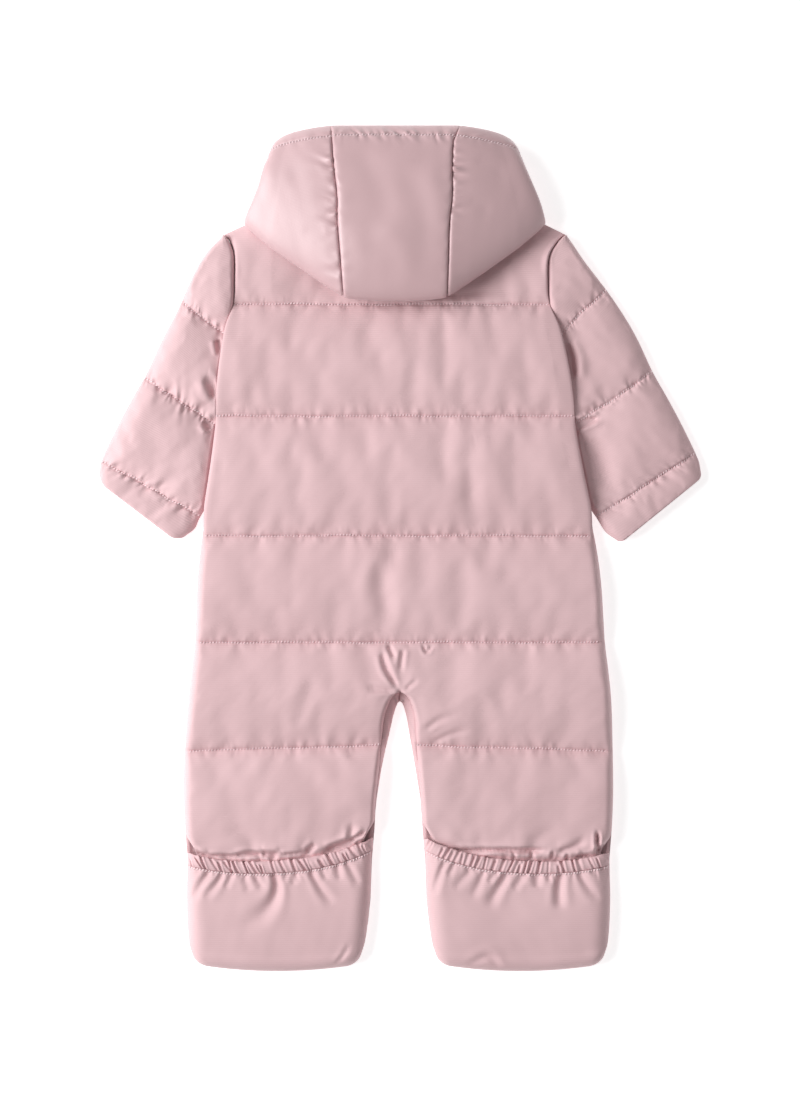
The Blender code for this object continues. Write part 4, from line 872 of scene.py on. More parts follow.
def makeBack():
    b = backSizes
    rows, apex = backRows()
    c = np.linspace(0.0, 1.0, b["columns"] + 1)
    outer, inner = (np.array(grid) for grid in zip(*(backRow(kind, value, c) for kind, value in rows)))
    half = len(c)
    outer, inner = (np.concatenate([mirroredX(grid)[:, ::-1], grid], axis=1) for grid in (outer, inner))
    x, y = outer[:, :, 0], outer[:, :, 1]
    fromSide = sideAt(y) - np.abs(x)
    seamX = crotchSeamAt(y)
    apart = np.where(y < suit["crotchY"], np.abs(x) - seamX, np.hypot(x, y - suit["crotchY"]))
    fade = smooth(0.0, 7.0, fromSide) * smooth(0.0, 5.0, apart)
    # the back sinks beside the hood's right edge
    (fromX, fromY), (headX, headY) = b["sunk"]["from"], b["sunk"]["heading"]
    away = np.maximum((x - fromX) * headX - (y - fromY) * headY, 0.0)
    sunk = b["sunk"]["depth"] * bell(away, b["sunk"]["width"]) * smooth(205.5, 216.0, y) * smooth(10.0, 30.0, x)
    rise = (backRelief(x, y) - sunk) * fade
    rise[0] = 0.0
    held = (fromSide < 3.0) | (apart < 2.0) | ((y < -205.0) & (y < bandAt(np.abs(x)) + 1.5))
    held[0] = True
    offsets = [lineDistance(x, y, number) for number in range(5)]
    for d in offsets:
        held[np.abs(d).argmin(axis=0), np.arange(x.shape[1])] = True
    folds = b["folds"] * foldShift(outer, held, 77) * (fade * smooth(1.0, 6.0, fromSide))[:, :, None]
    inside = np.minimum(apart, fromSide) > 1.0
    outer = outer + folds
    outer[:, :, 2] = np.where(inside, np.maximum(outer[:, :, 2] + rise, inner[:, :, 2] + thinnest), outer[:, :, 2])
    outer, inner = laid(outer), laid(inner)
    for number, d in enumerate(offsets):
        for first, last in [(4, half - 1), (half + 1, 2 * half - 5)] if number == 4 else [(4, 2 * half - 5)]:
            stitchLines.append(seamPath(outer, d, range(first, last, 2)))
    sideStops = stops(half)
    halves = {"columnStops": sideStops + [half + k for k in sideStops], "gap": len(sideStops) - 1}
    return wallObject("back_quilted", outer, inner, shellCloth, weld=[(slice(0, apex + 1), half, half - 1)], **halves)


# sleeves

sleeveSizes = {
    "fold": [
        (262.6, 143.4), (248.6, 154.8), (224.0, 171.0), (199.0, 185.5), (174.0, 199.2), (149.0, 210.8),
        (124.0, 224.9), (99.0, 238.0), (74.0, 249.4), (58.0, 253.2),
    ],
    "seam": [(103.6, 148.2), (71.0, 153.3), (37.0, 159.8), (27.0, 165.5), (12.0, 175.0), (5.2, 183.5)],
    # y at the fold and at the inner seam of each stitched line
    "lines": {
        "left": {"yoke": (207.9, 179.0), "elbow": (143.2, 103.6), "hem": (74.7, 28.0), "cuff": (58.0, 5.2)},
        "right": {"yoke": (217.1, 177.0), "elbow": (149.0, 103.6), "hem": (81.3, 28.0), "cuff": (61.0, 5.2)},
    },
    "groove": (1.1, 0.9),
    "strength": {"left": (1.3, 1.7, 1.6), "right": (0.8, 1.3, 1.1)},  # of the puckers at each line
    "linePuckers": [(0, 3.8, 1.25, 3.6), (10, 10.0, 1.2, 10.0)],  # seed, spacing, depth, reach
    "slant": 0.35,
    "creases": 0.55,
    "waves": [(0.4, 50.0), (0.1, 19.0), (0.04, 8.0)],
    "spare": {"left": 1.4, "right": 1.0},
    "cornerRound": {"left": 11.0, "right": 5.0},
    "crown": {"left": 21.0, "right": 17.5},
    "near": {"left": (0.55, 46.0), "right": (0.4, 52.0)},  # height beside the body as a share, width of the rise
    "hemCrown": 15.0,
    "ring": 99,  # cells over the top
    "under": 24,
}

sleeveCreases = {
    "right": [
        (150, 232, 168, 196, 3, 6, -1.2), (146, 168, 178, 130, 5, 8, -1.4), (206, 178, 190, 146, -4, 8, 1.0),
        (162, 140, 200, 118, 4, 8, 1.1), (168, 92, 196, 52, 6, 8, -1.5), (214, 116, 206, 68, -4, 9, -1.1),
        (160, 86, 170, 48, 3, 6, -1.4), (228, 100, 232, 76, 3, 6, 0.9), (180, 60, 204, 40, 3, 7, 1.0),
        (148, 128, 156, 108, 2, 5, -1.8), (166, 112, 186, 122, 2, 5, -1.2),
    ],
    "left": [
        (142, 236, 140, 196, 2, 5, 1.2), (152, 238, 166, 200, 3, 7, -1.3), (146, 166, 176, 138, 5, 8, -1.2),
        (204, 176, 188, 148, -4, 8, 1.0), (158, 132, 152, 104, 2, 5, -2.2), (166, 128, 190, 112, 4, 8, 1.0),
        (164, 90, 192, 60, 6, 8, -1.3), (212, 112, 202, 66, -4, 9, -1.0), (230, 98, 228, 78, 3, 6, 0.9),
        (166, 74, 176, 40, 3, 6, -1.2), (184, 60, 206, 44, 3, 7, 1.0),
    ],
}


# hollows beside the body: x, y, width, height along each
sleeveHollows = {
    "right": [
        [(145, 173, 3.0, -3.0), (147, 158, 4.5, -6.5), (148, 141, 4.0, -6.0)],
        [(149, 102, 2.6, -5.0), (158, 106, 2.6, -5.0), (170, 111, 2.2, -2.0)],
        [(158, 94, 7.0, -1.8), (169, 72, 9.0, -3.0), (178, 46, 8.0, -1.6)],
    ],
    "left": [
        [(158, 144, 3.0, -1.5), (151, 135, 4.5, -5.5), (148, 125, 4.0, -6.0)],
        [(161, 107, 2.4, -2.5), (153, 101, 3.6, -6.0)], [(146, 175, 2.4, -4.0), (143, 162, 2.6, -4.0)],
    ],
}


def sleeveRows(sideName):
    # inner seam y, fold y, crown, channel and share of it, for each station down the sleeve
    s = sleeveSizes
    lines, crown, hemZ = s["lines"][sideName], s["crown"][sideName], suit["stitchZ"] - 0.6
    top = mix(suit["neckline"][-1][1], suit["quiltLines"][0], 0.03)
    marks = [(top, s["fold"][0][0])] + [lines[key][::-1] for key in ("yoke", "elbow", "hem", "cuff")]
    stations = []
    for k, ((y0, f0), (y1, f1)) in enumerate(zip(marks, marks[1:])):
        for share in channelShares(y0 - y1, near=0.9, band=13.0, middle=1.8) if k < 3 else np.linspace(0, 1, 22)[:-1]:
            if k < 3:
                z = mix(suit["stitchZ"], crown, puff(0.12 + 0.88 * share if k == 0 else share, 0.6))
            else:
                z = mix(hemZ, s["hemCrown"], puff(share))
            stations.append((mix(y0, y1, share), mix(f0, f1, share), z, k, share))
    stations.append((*marks[-1], hemZ, 3, 1.0))
    return stations


def sleevePoints(station, share, over, sideName):
    # one ring over the top and back underneath, outside and inside, with its distance from the seam
    y, foldY, crown, k, _ = station
    s, seamZ = sleeveSizes, suit["seamZ"]
    openness = lineAt(suit["armhole"], y) if k < 2 else 0.0
    seam = np.array([sideAt(y) + suit["seamGap"] * 1.3 if k < 2 else curveAt(s["seam"], y), y])
    fold = np.array([curveAt(s["fold"], foldY), foldY])
    width = float(np.hypot(*(fold - seam)))
    rounding = min(suit["edgeRound"], 0.45 * width)
    fromSeam = share * width
    wall = mix(suit["edgeWall"], 0.0, openness)
    inShare = (wall + share * (width - suit["edgeWall"] - wall)) / width
    inFromSeam = inShare * width
    inside = np.where(over, suit["backInnerZ"], suit["frontWall"])
    low = mix(seamZ, np.where(over, suit["armholeZ"], 0.0), openness)
    inLow = mix(seamZ, inside, openness)
    topRound = mix(rounding, min(5.5, rounding), smooth(170.0, 200.0, y))
    radius = np.where(over, topRound, min(9.0, 0.45 * width))
    start, reach = s["near"][sideName]
    slow = smooth(3.0, reach, fromSeam) if sideName == "right" else softRise(fromSeam, min(reach, 0.8 * width))
    steep = (start * smooth(-1.0, 4.0, fromSeam) + (1.0 - start) * slow) * smooth(-0.2, 0.9, fromSeam)
    rise = np.where(over, softRise(fromSeam, radius), roundRise(fromSeam, radius))
    rise = mix(rise, steep, smooth(14.0, 40.0, y) * smooth(205.0, 178.0, y) * over)
    z = mix(low, np.where(over, crown, 0.0), rise)
    z = mix(seamZ, z, roundRise(width - fromSeam, radius))
    inZ = mix(inLow, inside, roundRise(inFromSeam - wall, 5.0))
    inZ = mix(seamZ, inZ, roundRise(width - inFromSeam - suit["edgeWall"], 5.0))
    place, inPlace = (seam + (fold - seam) * part[:, None] for part in (share, inShare))
    return np.column_stack([place, z]), np.column_stack([inPlace, inZ]), fromSeam


def roundCuff(outer, inner, t, width, down, hemRow, radius):
    # draws the cuff's two corners up the sleeve along a quarter circle
    pull = radius * (1.0 - roundRise(np.minimum(t, width - t), radius))
    late = smooth(0.0, 1.0, (down - down[hemRow]) / (down[-1] - down[hemRow]))
    heading = outer[-1, :, :2] - outer[hemRow, :, :2]
    heading /= np.linalg.norm(heading, axis=1, keepdims=True)
    for grid in (outer, inner):
        grid[:, :, :2] -= heading[None] * (pull * late)[:, :, None]


def halfway(a, b):
    return (*(mix(a[k], b[k], 0.5) for k in range(3)), *a[3:])


def makeSleeve(sideName):
    s, seed = sleeveSizes, 100 if sideName == "left" else 200
    rows = sleeveRows(sideName)
    closed = next(i for i, row in enumerate(rows) if row[3] == 2)
    # the lining follows every third station, so the closing row falls on one of them
    for _ in range(-closed % 3):
        rows.insert(2, halfway(rows[1], rows[2]))
    closed += -closed % 3
    while (len(rows) - 1) % 3:
        rows.insert(len(rows) - 2, halfway(rows[-3], rows[-2]))
    overShare = np.linspace(0, 1, s["ring"] + 1)
    overShare = mix(overShare, 0.5 - 0.5 * np.cos(np.pi * overShare), 0.45)
    underShare = (0.5 + 0.5 * np.cos(np.pi * np.linspace(0, 1, s["under"] + 1)))[1:]
    share = np.concatenate([overShare, underShare])
    over = np.arange(len(share)) < len(overShare)
    outer, inner, t = (np.array(grid) for grid in zip(*(sleevePoints(row, share, over, sideName) for row in rows)))
    down = runAlong(outer[:, :, :2], 0)
    rise = np.zeros(outer.shape[:2])
    offsets = []
    lineRows = [next(i for i, row in enumerate(rows) if row[3] == k) for k in (1, 2, 3)]
    for number, (rowNumber, power) in enumerate(zip(lineRows, s["strength"][sideName])):
        d = down - down[rowNumber] - power * 0.8 * np.sin(t / 5.3 + number) * np.sin(t / 13.0 + seed)
        offsets.append(d)
        rise += grooveRise(d, *s["groove"])
        for add, spacing, depth, reach in s["linePuckers"]:
            rise += puckerRise(t, d, (0.0, 120.0), seed + add + number, spacing, depth * power, reach, s["slant"])
    width = t[:, s["ring"]][:, None]
    roundCuff(outer, inner, t, width, down, lineRows[2], s["cornerRound"][sideName])
    x, y = outer[:, :, 0], outer[:, :, 1]
    rise += s["creases"] * creaseRise(x, y, sleeveCreases[sideName]) + foldRise(x, y, sleeveHollows[sideName])
    rise += ripples(x, y, seed + 20, *s["waves"])
    fade = smooth(0.0, 6.0, t) * smooth(0.0, 5.0, width - t) * over[None, :]
    top = slice(0, s["ring"] + 1)
    held = (t < 3.0) | (width - t < 3.0)
    held[[0, -1] + lineRows] = True
    folds = np.zeros_like(outer)
    folds[:, top] = foldShift(outer[:, top], held[:, top], seed + 30, s["spare"][sideName])
    outer = outer + folds * fade[:, :, None]
    relief = np.maximum(outer[:, :, 2] + rise * fade, inner[:, :, 2] + thinnest)
    outer[:, :, 2] = np.where(over[None, :], relief, outer[:, :, 2])
    beneath = sum(bell(d, 1.6) for d in offsets[:2]) * smooth(4.0, 12.0, t) * smooth(4.0, 12.0, width - t)
    outer[:, :, 2] += 1.4 * beneath * ~over[None, :]
    uv = np.stack(lengthsAlong(outer), -1)
    outer, inner = laidPair(outer, inner, sideName)
    for number, d in enumerate(offsets):
        stitchLines.append(seamPath(outer, d, range(3, s["ring"] - 2)))
        if number < 2:
            under = seamPath(outer, d, range(s["ring"] + 5, s["ring"] + s["under"] - 5))
            stitchLines.append(under - np.array([0.0, 0.0, 0.7]))
    weld = [(slice(closed, len(rows)), outer.shape[1] - 1, 0)]
    return wallObject("sleeve_" + sideName + "_quilted", outer, inner, shellCloth, sideName == "left", uv, weld=weld)


# hood

hoodSizes = {
    # neck x, y, z; under z; fold x, y, z; peak z; face x, y, z; from the centre seam to the chin
    "lines": [
        (56.0, 283.0, 14.8, 22.5, 43.0, 209.5, 32.0, 47.0, 52.4, 351.4, 26.0),
        (61.0, 286.5, 14.4, 23.5, 72.0, 229.0, 29.0, 43.0, 70.0, 349.2, 24.5),
        (65.0, 291.0, 11.5, 22.0, 104.0, 252.0, 25.0, 37.0, 85.5, 346.0, 21.5),
        (66.0, 292.5, 8.0, 14.0, 124.3, 271.5, 18.0, 31.0, 96.5, 341.3, 17.5),
        (65.0, 293.0, 4.0, 5.0, 113.5, 296.0, 11.0, 13.5, 101.0, 334.5, 12.0),
        (58.3, 285.4, 0.6, 0.2, 90.0, 306.0, 0.4, 1.0, 92.0, 322.0, 3.0),
        (40.4, 264.9, 0.0, 0.0, 50.0, 288.0, 0.0, 0.0, 60.0, 302.0, 0.4),
        (20.4, 253.3, 0.0, 0.0, 30.0, 264.0, 0.0, 0.0, 38.0, 274.0, 0.0),
        (8.0, 251.0, 0.0, 0.0, 8.6, 254.5, 0.0, 0.0, 9.0, 258.0, 0.0),
    ],
    "wall": 3.0,
    "centreRise": 2.5,
    "casing": 14.5,
    "seamDip": 2.6,
    "seamSpread": 0.5,
    "roll": {"centre": (1.7, 7.0), "side": (0.9, 5.0)},  # height and width of the swelling beside the seams
    "groove": (1.2, 0.9),
    "waves": [(0.3, 52.0), (0.06, 18.0)],
    # seed, spacing, depth, reach
    "sidePuckers": [(0, 4.6, 4.0, 6.5), (8, 9.0, 1.5, 11.0)],
    "hemPuckers": (1, 8.0, 0.5, 5.0),
    "seamPuckers": (9.0, 0.6, 6.0),
    # reach along the hem, seed, spacing, depth, reach, slant, sides
    "centrePuckers": [
        ((20.0, 95.0), 503, 5.2, 1.7, 4.5, 0.5, (1,)), ((20.0, 95.0), 507, 5.6, 2.0, 6.0, 0.7, (-1,)),
        ((0.0, 115.0), 504, 8.0, 0.6, 7.0),
    ],
    "draw": {"left": 1.5, "right": 1.0},
    "creases": 0.4,
    # y, shift of the seam outwards
    "seamBend": {
        "left": [(209.0, 0.0), (351.4, 0.0)],
        "right": [(209.0, 0.0), (270.0, -1.9), (322.0, -2.6), (337.0, -2.8), (351.4, 2.0)],
    },
    # where the side panels are drawn in along the centre seams: y, spread, strength
    "pulls": {
        "left": [(306.0, 17.0, 1.0), (271.0, 8.0, 0.9), (232.0, 5.0, 0.4)],
        "right": [(308.0, 16.0, 1.0), (280.0, 6.0, 0.5)],
    },
}


def hoodPath(line, underShares, topShares):
    # a line from the neck, under the fold and over the top to the face edge
    neck, fold, face = np.array(line[0:2]), np.array(line[4:6]), np.array(line[8:10])
    neckZ, underZ, foldZ, peakZ, faceZ = line[2], line[3], line[6], line[7], line[10]
    under = [(0.0, neckZ), (0.22, mix(neckZ, underZ, 0.65)), (0.5, underZ), (0.8, mix(underZ, foldZ, 0.15)),
             (0.93, mix(underZ, foldZ, 0.5)), (1.0, foldZ)]
    low = np.column_stack([neck + (fold - neck) * underShares[:, None], curveAt(under, underShares)])
    bow = (4.0 * topShares * (1.0 - topShares)).clip(0.0) ** 0.5
    height = mix(foldZ, faceZ, topShares) + (peakZ - mix(foldZ, faceZ, 0.5)) * bow
    return np.concatenate([low, np.column_stack([fold + (face - fold) * topShares[:, None], height])])


hoodUnder = np.concatenate([np.linspace(0.0, 0.8, 13), np.linspace(0.83, 1.0, 9)])
hoodTop = np.concatenate([(np.linspace(0.0, 1.0, 15) ** 1.6)[1:] * 0.1, np.linspace(0.1, 0.9, 71)[1:],
                          np.linspace(0.9, 1.0, 13)[1:]])
hoodRows = np.arange(len(hoodUnder) + len(hoodTop))[:, None]
hoodOnTop = (hoodRows >= len(hoodUnder)) * 1.0
seamFade = smooth(0, 6, hoodRows) * mix(0.1, 1.0, smooth(len(hoodRows) - 1, len(hoodRows) - 12, hoodRows))


def seamBend(sideName, y):
    return lineAt(hoodSizes["seamBend"][sideName], y)


def gridNormals(grid):
    normal = np.cross(np.gradient(grid, axis=1), np.gradient(grid, axis=0))
    return normal / np.maximum(np.linalg.norm(normal, axis=2, keepdims=True), 1e-9)


hoodCreases = {
    "right": [
        (66, 318, 92, 308, 3, 7, -0.8), (60, 286, 78, 276, 2, 6, -0.9), (72, 330, 104, 296, 5, 9, 0.7),
    ],
    "left": [
        (60, 312, 88, 304, 3, 7, -0.8), (58, 262, 76, 258, 2, 6, -0.8), (72, 328, 104, 292, 5, 9, 0.7),
    ],
    "centre": [
        (-30, 330, -8, 262, 6, 12, -1.0), (6, 312, 26, 240, 6, 12, -0.9), (-44, 300, -20, 232, -6, 11, 0.8),
        (30, 318, 44, 262, -4, 10, 0.7), (-10, 268, 14, 222, 4, 10, 0.6),
    ],
}


def hoodWall(outer, normal, fromSeam, kind):
    # swollen beside the centre seams and drawn in on them, with the lining a wall's thickness inside
    height, width = hoodSizes["roll"][kind]
    dip = hoodSizes["seamDip"] * np.exp(-fromSeam / hoodSizes["seamSpread"]) - height * softRise(fromSeam, width)
    outer = outer - normal * (dip * seamFade)[:, :, None]
    total = runAlong(outer, 0)
    return outer, outer - normal * hoodSizes["wall"], total, total[-1][None, :] - total


def makeHoodSide(sideName):
    h, seed, left = hoodSizes, 300 if sideName == "left" else 400, sideName == "left"
    table = [(float(i), *row) for i, row in enumerate(h["lines"])]
    numbers = np.concatenate([np.linspace(0, 5, 97)[:-1], np.linspace(5, 8, 19)])
    numbers[:12] = numbers[12] * (np.linspace(0.0, 1.0, 13) ** 1.5)[:-1]
    columns = []
    for number in numbers:
        line = [curveAt(table, number, k) for k in range(1, 12)]
        for k in (4, 5):  # a sharper corner at the fold
            line[k] = mix(line[k], lineAt(table, number, k + 1), 0.6)
        columns.append(hoodPath(line, hoodUnder, hoodTop))
    outer = np.stack(columns, axis=1)
    fromSeam = lengthsAlong(outer)[0]
    outer[:, :, 0] += seamBend(sideName, outer[:, :, 1]) * smooth(48.0, 0.0, fromSeam) * hoodOnTop
    normal = gridNormals(outer)
    normal[:, 0, 0] = 0.0
    normal /= np.maximum(np.linalg.norm(normal, axis=2, keepdims=True), 1e-9)
    outer, inner, total, fromFace = hoodWall(outer, normal, fromSeam, "side")
    inner[..., 2] = np.where(inner[..., 2] < 0.3, 2.0 * outer[..., 2] - inner[..., 2], inner[..., 2])
    u, v = lengthsAlong(outer)
    x, y = outer[:, :, 0], outer[:, :, 1]
    hem = fromFace - h["casing"]

    def pulled(place):
        return 0.15 + sum(much * math.exp(-(((place - at) / wide) ** 2)) for at, wide, much in h["pulls"][sideName])

    rise = np.zeros_like(u)
    for add, spacing, depth, reach in h["sidePuckers"]:
        size = (spacing, depth * h["draw"][sideName], reach)
        rise += puckerRise(y, u, (200.0, 352.0), seed + add, *size, sides=(1,), strength=pulled)
    add, *size = h["hemPuckers"]
    rise += grooveRise(hem, *h["groove"])
    rise += puckerRise(u, hem, (0.0, 150.0), seed + add, *size)
    rise += h["creases"] * creaseRise(x, y, hoodCreases[sideName])
    rise = rise * hoodOnTop + ripples(u, v, seed + 2, *h["waves"])
    fade = smooth(0, 6, hoodRows) * smooth(0.0, 3.0, fromFace) * smooth(5.6, 4.6, numbers)[None, :]
    outer = outer + normal * (rise * fade)[:, :, None]
    shift = smooth(0.0, 30.0, total) * smooth(5.0, 4.0, numbers)[None, :]
    outer, inner = laidPair(outer, inner, sideName, shift, hoodShift)
    stitchLines.append(seamPath(outer, hem, range(3, 78, 2)))
    return wallObject("hood_side_" + sideName + "_shell", outer, inner, hoodCloth, not left, np.stack([u, v], -1))


def makeHoodCentre():
    h = hoodSizes
    path = hoodPath(h["lines"][0], hoodUnder, hoodTop)
    folded = len(hoodUnder)
    shares = np.linspace(-1.0, 1.0, 91)
    shares = np.sign(shares) * (1.0 - (1.0 - np.abs(shares)) ** 1.5)
    middle, seamX, seamY = 1.0 - shares**2, h["lines"][0][0], h["lines"][0][1]
    neckGap = seamY - lineAt(suit["neckline"], seamX)
    rows = []
    for number, (x, y, z) in enumerate(path):
        onTop = max(number - folded + 1, 0) and (y - path[folded - 1][1]) / (path[-1][1] - path[folded - 1][1])
        place = shares * x
        if number >= folded:
            place = place + np.where(shares < 0.0, -seamBend("left", y), seamBend("right", y)) * shares**2
        under = 1.0 - min(number / (folded - 1), 1.0)
        neckY = lineAt(suit["neckline"], np.abs(place)) + neckGap - seamY
        sag = neckY * under - h["centreRise"] * middle * (1.0 - under) * (1.0 - onTop)
        rows.append(np.column_stack([place, y + sag, z + h["centreRise"] * middle * math.sin(math.pi * onTop)]))
    outer = np.array(rows)
    normal = gridNormals(outer)
    normal[:, [0, -1], 0] = 0.0
    u, v = lengthsAlong(outer)
    toRight = u[:, -1:] - u
    outer, inner, total, fromFace = hoodWall(outer, normal, np.minimum(u, toRight), "centre")
    x, y = outer[:, :, 0], outer[:, :, 1]
    hem = fromFace - h["casing"]
    rise = puckerRise(total, u, (0.0, 260.0), 501, *h["seamPuckers"], sides=(1,))
    rise += puckerRise(total, toRight, (0.0, 260.0), 502, *h["seamPuckers"], sides=(1,))
    rise += grooveRise(hem, *h["groove"]) * hoodOnTop
    for spec in h["centrePuckers"]:
        rise += puckerRise(u, hem, *spec) * hoodOnTop
    rise += creaseRise(x, y, hoodCreases["centre"]) * hoodOnTop
    rise += ripples(u, v, 505, *h["waves"])
    fade = smooth(0, 6, hoodRows) * smooth(0.0, 3.0, fromFace)
    outer = outer + normal * (rise * fade)[:, :, None]
    outer, inner = laidPair(outer, inner, "", smooth(0.0, 30.0, total), hoodShift)
    stitchLines.append(seamPath(outer, hem, range(2, 89, 2)))
    return wallObject("hood_centre_shell", outer, inner, hoodCloth, True, np.stack([u, v], -1))


# feet

footSizes = {
    "topZ": 17.6,
    "bandPuff": 2.2,
    "bandInside": [(0.0, 13.9), (0.45, 13.4), (1.0, 12.6)],
    "gap": (4.0, 10.5),  # between the furrows of a band
    # x, slope of the furrows
    "lean": {
        "left": [(15.0, -5.0), (180.0, -6.5)],
        "right": [(15.0, -4.0), (105.0, -4.5), (135.0, 2.0), (180.0, 6.0)],
    },
    # share from the band to the foot's end, crown, inside
    "rows": [
        (0.0, 17.6, 12.2), (0.12, 19.2, 12.2), (0.3, 20.6, 10.2), (0.55, 21.5, 9.0), (0.8, 20.8, 8.8),
        (1.0, 19.0, 8.7),
    ],
    "puckers": (4.6, 1.5, 5.0),  # spacing, depth, reach
    "waves": [(0.35, 48.0), (0.08, 18.0)],
    "end": 14.0,
    "round": 19.0,
    "columns": 165,
}

# folds that run down from the elastics, and the fold at the inner corner: x, y, width, height along each
flapFolds = {
    "left": [
        [(-155, -267, 2.4, -2.2), (-162, -277, 3.0, -1.8), (-171, -292, 4.0, -0.8)],
        [(-144, -268, 2.2, -1.9), (-151, -279, 2.8, -1.5), (-162, -289, 4.0, -0.7)],
        [(-136, -266, 2.0, -1.5), (-143, -282, 2.8, -0.7)], [(-127, -267, 2.4, -1.3), (-123, -285, 3.0, -0.6)],
        [(-119.5, -268, 2.0, -1.4), (-111, -282, 2.6, -0.8)],
        [(-106, -265, 2.2, -2.6), (-100.5, -274, 2.8, -3.2), (-101, -287, 4.0, -3.2), (-110, -300, 6.0, -2.2),
         (-134, -317, 8.0, -1.0)],
        [(-85, -267, 2.4, -1.6), (-86, -279, 3.0, -0.8)], [(-92, -268, 2.0, -1.0), (-94, -277, 2.4, -0.6)],
        [(-74, -262, 2.2, -1.8), (-64, -280, 3.0, -1.9), (-52, -295, 4.5, -1.0)],
        [(-65, -260, 2.0, -1.5), (-58, -275, 2.8, -0.8)], [(-51, -258, 2.0, -1.4), (-47, -275, 2.8, -0.8)],
        [(-44, -256, 2.2, -1.8), (-37, -268, 2.8, -1.5), (-31, -280, 3.4, -0.8)],
        [(-54, -347, 1.8, -0.6), (-46, -339, 2.0, -0.9), (-38, -326, 2.2, -0.5)],
    ],
    "right": [
        [(38, -257, 2.2, -1.7), (31, -275, 2.8, -1.4), (27, -288, 3.2, -0.7)],
        [(48, -258, 2.2, -1.6), (39, -271, 2.6, -1.0)], [(60, -265, 2.2, -1.2), (44, -282, 3.4, -0.7)],
        [(70, -266, 2.2, -1.6), (66, -276, 2.8, -1.3), (59, -290, 3.6, -0.7)],
        [(81, -266, 2.0, -1.5), (73, -277, 2.6, -0.9)],
        [(91, -267, 2.4, -1.8), (83, -279, 3.4, -2.4), (72, -298, 4.6, -1.1)],
        [(104, -268, 2.2, -1.3), (94, -283, 3.0, -0.8)], [(114.5, -266, 2.8, -2.3), (113.7, -282, 3.6, -1.0)],
        [(134.5, -267, 2.4, -2.4), (132, -282, 3.6, -2.9), (133, -300, 4.4, -1.2)],
        [(148, -267, 2.4, -1.8), (157, -281, 3.4, -1.4), (167, -292, 4.0, -0.7)],
        [(165, -260, 2.2, -1.5), (172, -275, 2.8, -0.9)], [(124, -268, 2.0, -1.0), (125, -276, 2.4, -0.6)],
        [(54, -347, 2.6, -0.6), (73, -338, 3.4, -1.2), (85, -350, 2.6, -0.6)],
    ],
}


def footBottom(x, inner, outer):
    # rounded corners and a shallow bow between them
    edge = np.minimum(x - inner, outer - x)
    middle = 1.0 - np.clip(2.0 * edge / (outer - inner), 0.0, 1.0)
    bow = suit["footBow"] * (1.0 - middle**2)
    return suit["footCornerY"] - (suit["footDepth"] - suit["footBow"]) * roundRise(edge, suit["footRound"]) - bow


def legEdges(y):
    return inseamAt(y), sideAt(y)


def gatherRise(x, share, seed, lean):
    # narrow slanted furrows of the elastic casing with low swellings between them
    rng = np.random.default_rng(seed)
    total = np.zeros_like(x)
    place = 15.0
    while place < 182.0:
        place += rng.uniform(*footSizes["gap"]) * (0.5 if rng.uniform() < 0.3 else 1.0)
        slope = float(lineAt(lean, place)) * rng.uniform(0.5, 1.3)
        depth, width = rng.uniform(0.5, 2.3), rng.uniform(0.7, 1.3)
        start = rng.uniform(-0.3, 0.35)
        length = smooth(start - 0.15, start + 0.15, share) * smooth(1.35, rng.uniform(0.8, 1.1), share)
        off = (x - place - slope * (share - 0.5)) / width
        total += depth * length * (0.3 * bell(np.abs(off) - 2.0, 1.0) - bell(off, 1.0))
    return total


def flapPoints(x, yAt, innerX, outerX, crown, inside, gap=None):
    # a row of a foot flap or its band, outside and inside; gap is the distance from the foot's end
    edge = np.minimum(x - innerX, outerX - x)
    depth = lip(edge)
    inX = x + np.where(x - innerX < outerX - x, depth - edge, edge - depth)
    rise, inRise = softRise(edge, footSizes["round"]), roundRise(depth - suit["edgeWall"], 5.0)
    inY = yAt(inX)
    if gap is not None:
        rise = rise * softRise(gap, footSizes["end"] + 1.0)
        inY = footBottom(inX, innerX, outerX) + lip(gap)
        inRise = inRise * roundRise(lip(gap) - suit["edgeWall"], 5.0)
    z, inZ = mix(lipZ, crown, rise), mix(lipZ, inside, inRise)
    return np.column_stack([x, yAt(x), z]), np.column_stack([inX, inY, inZ])


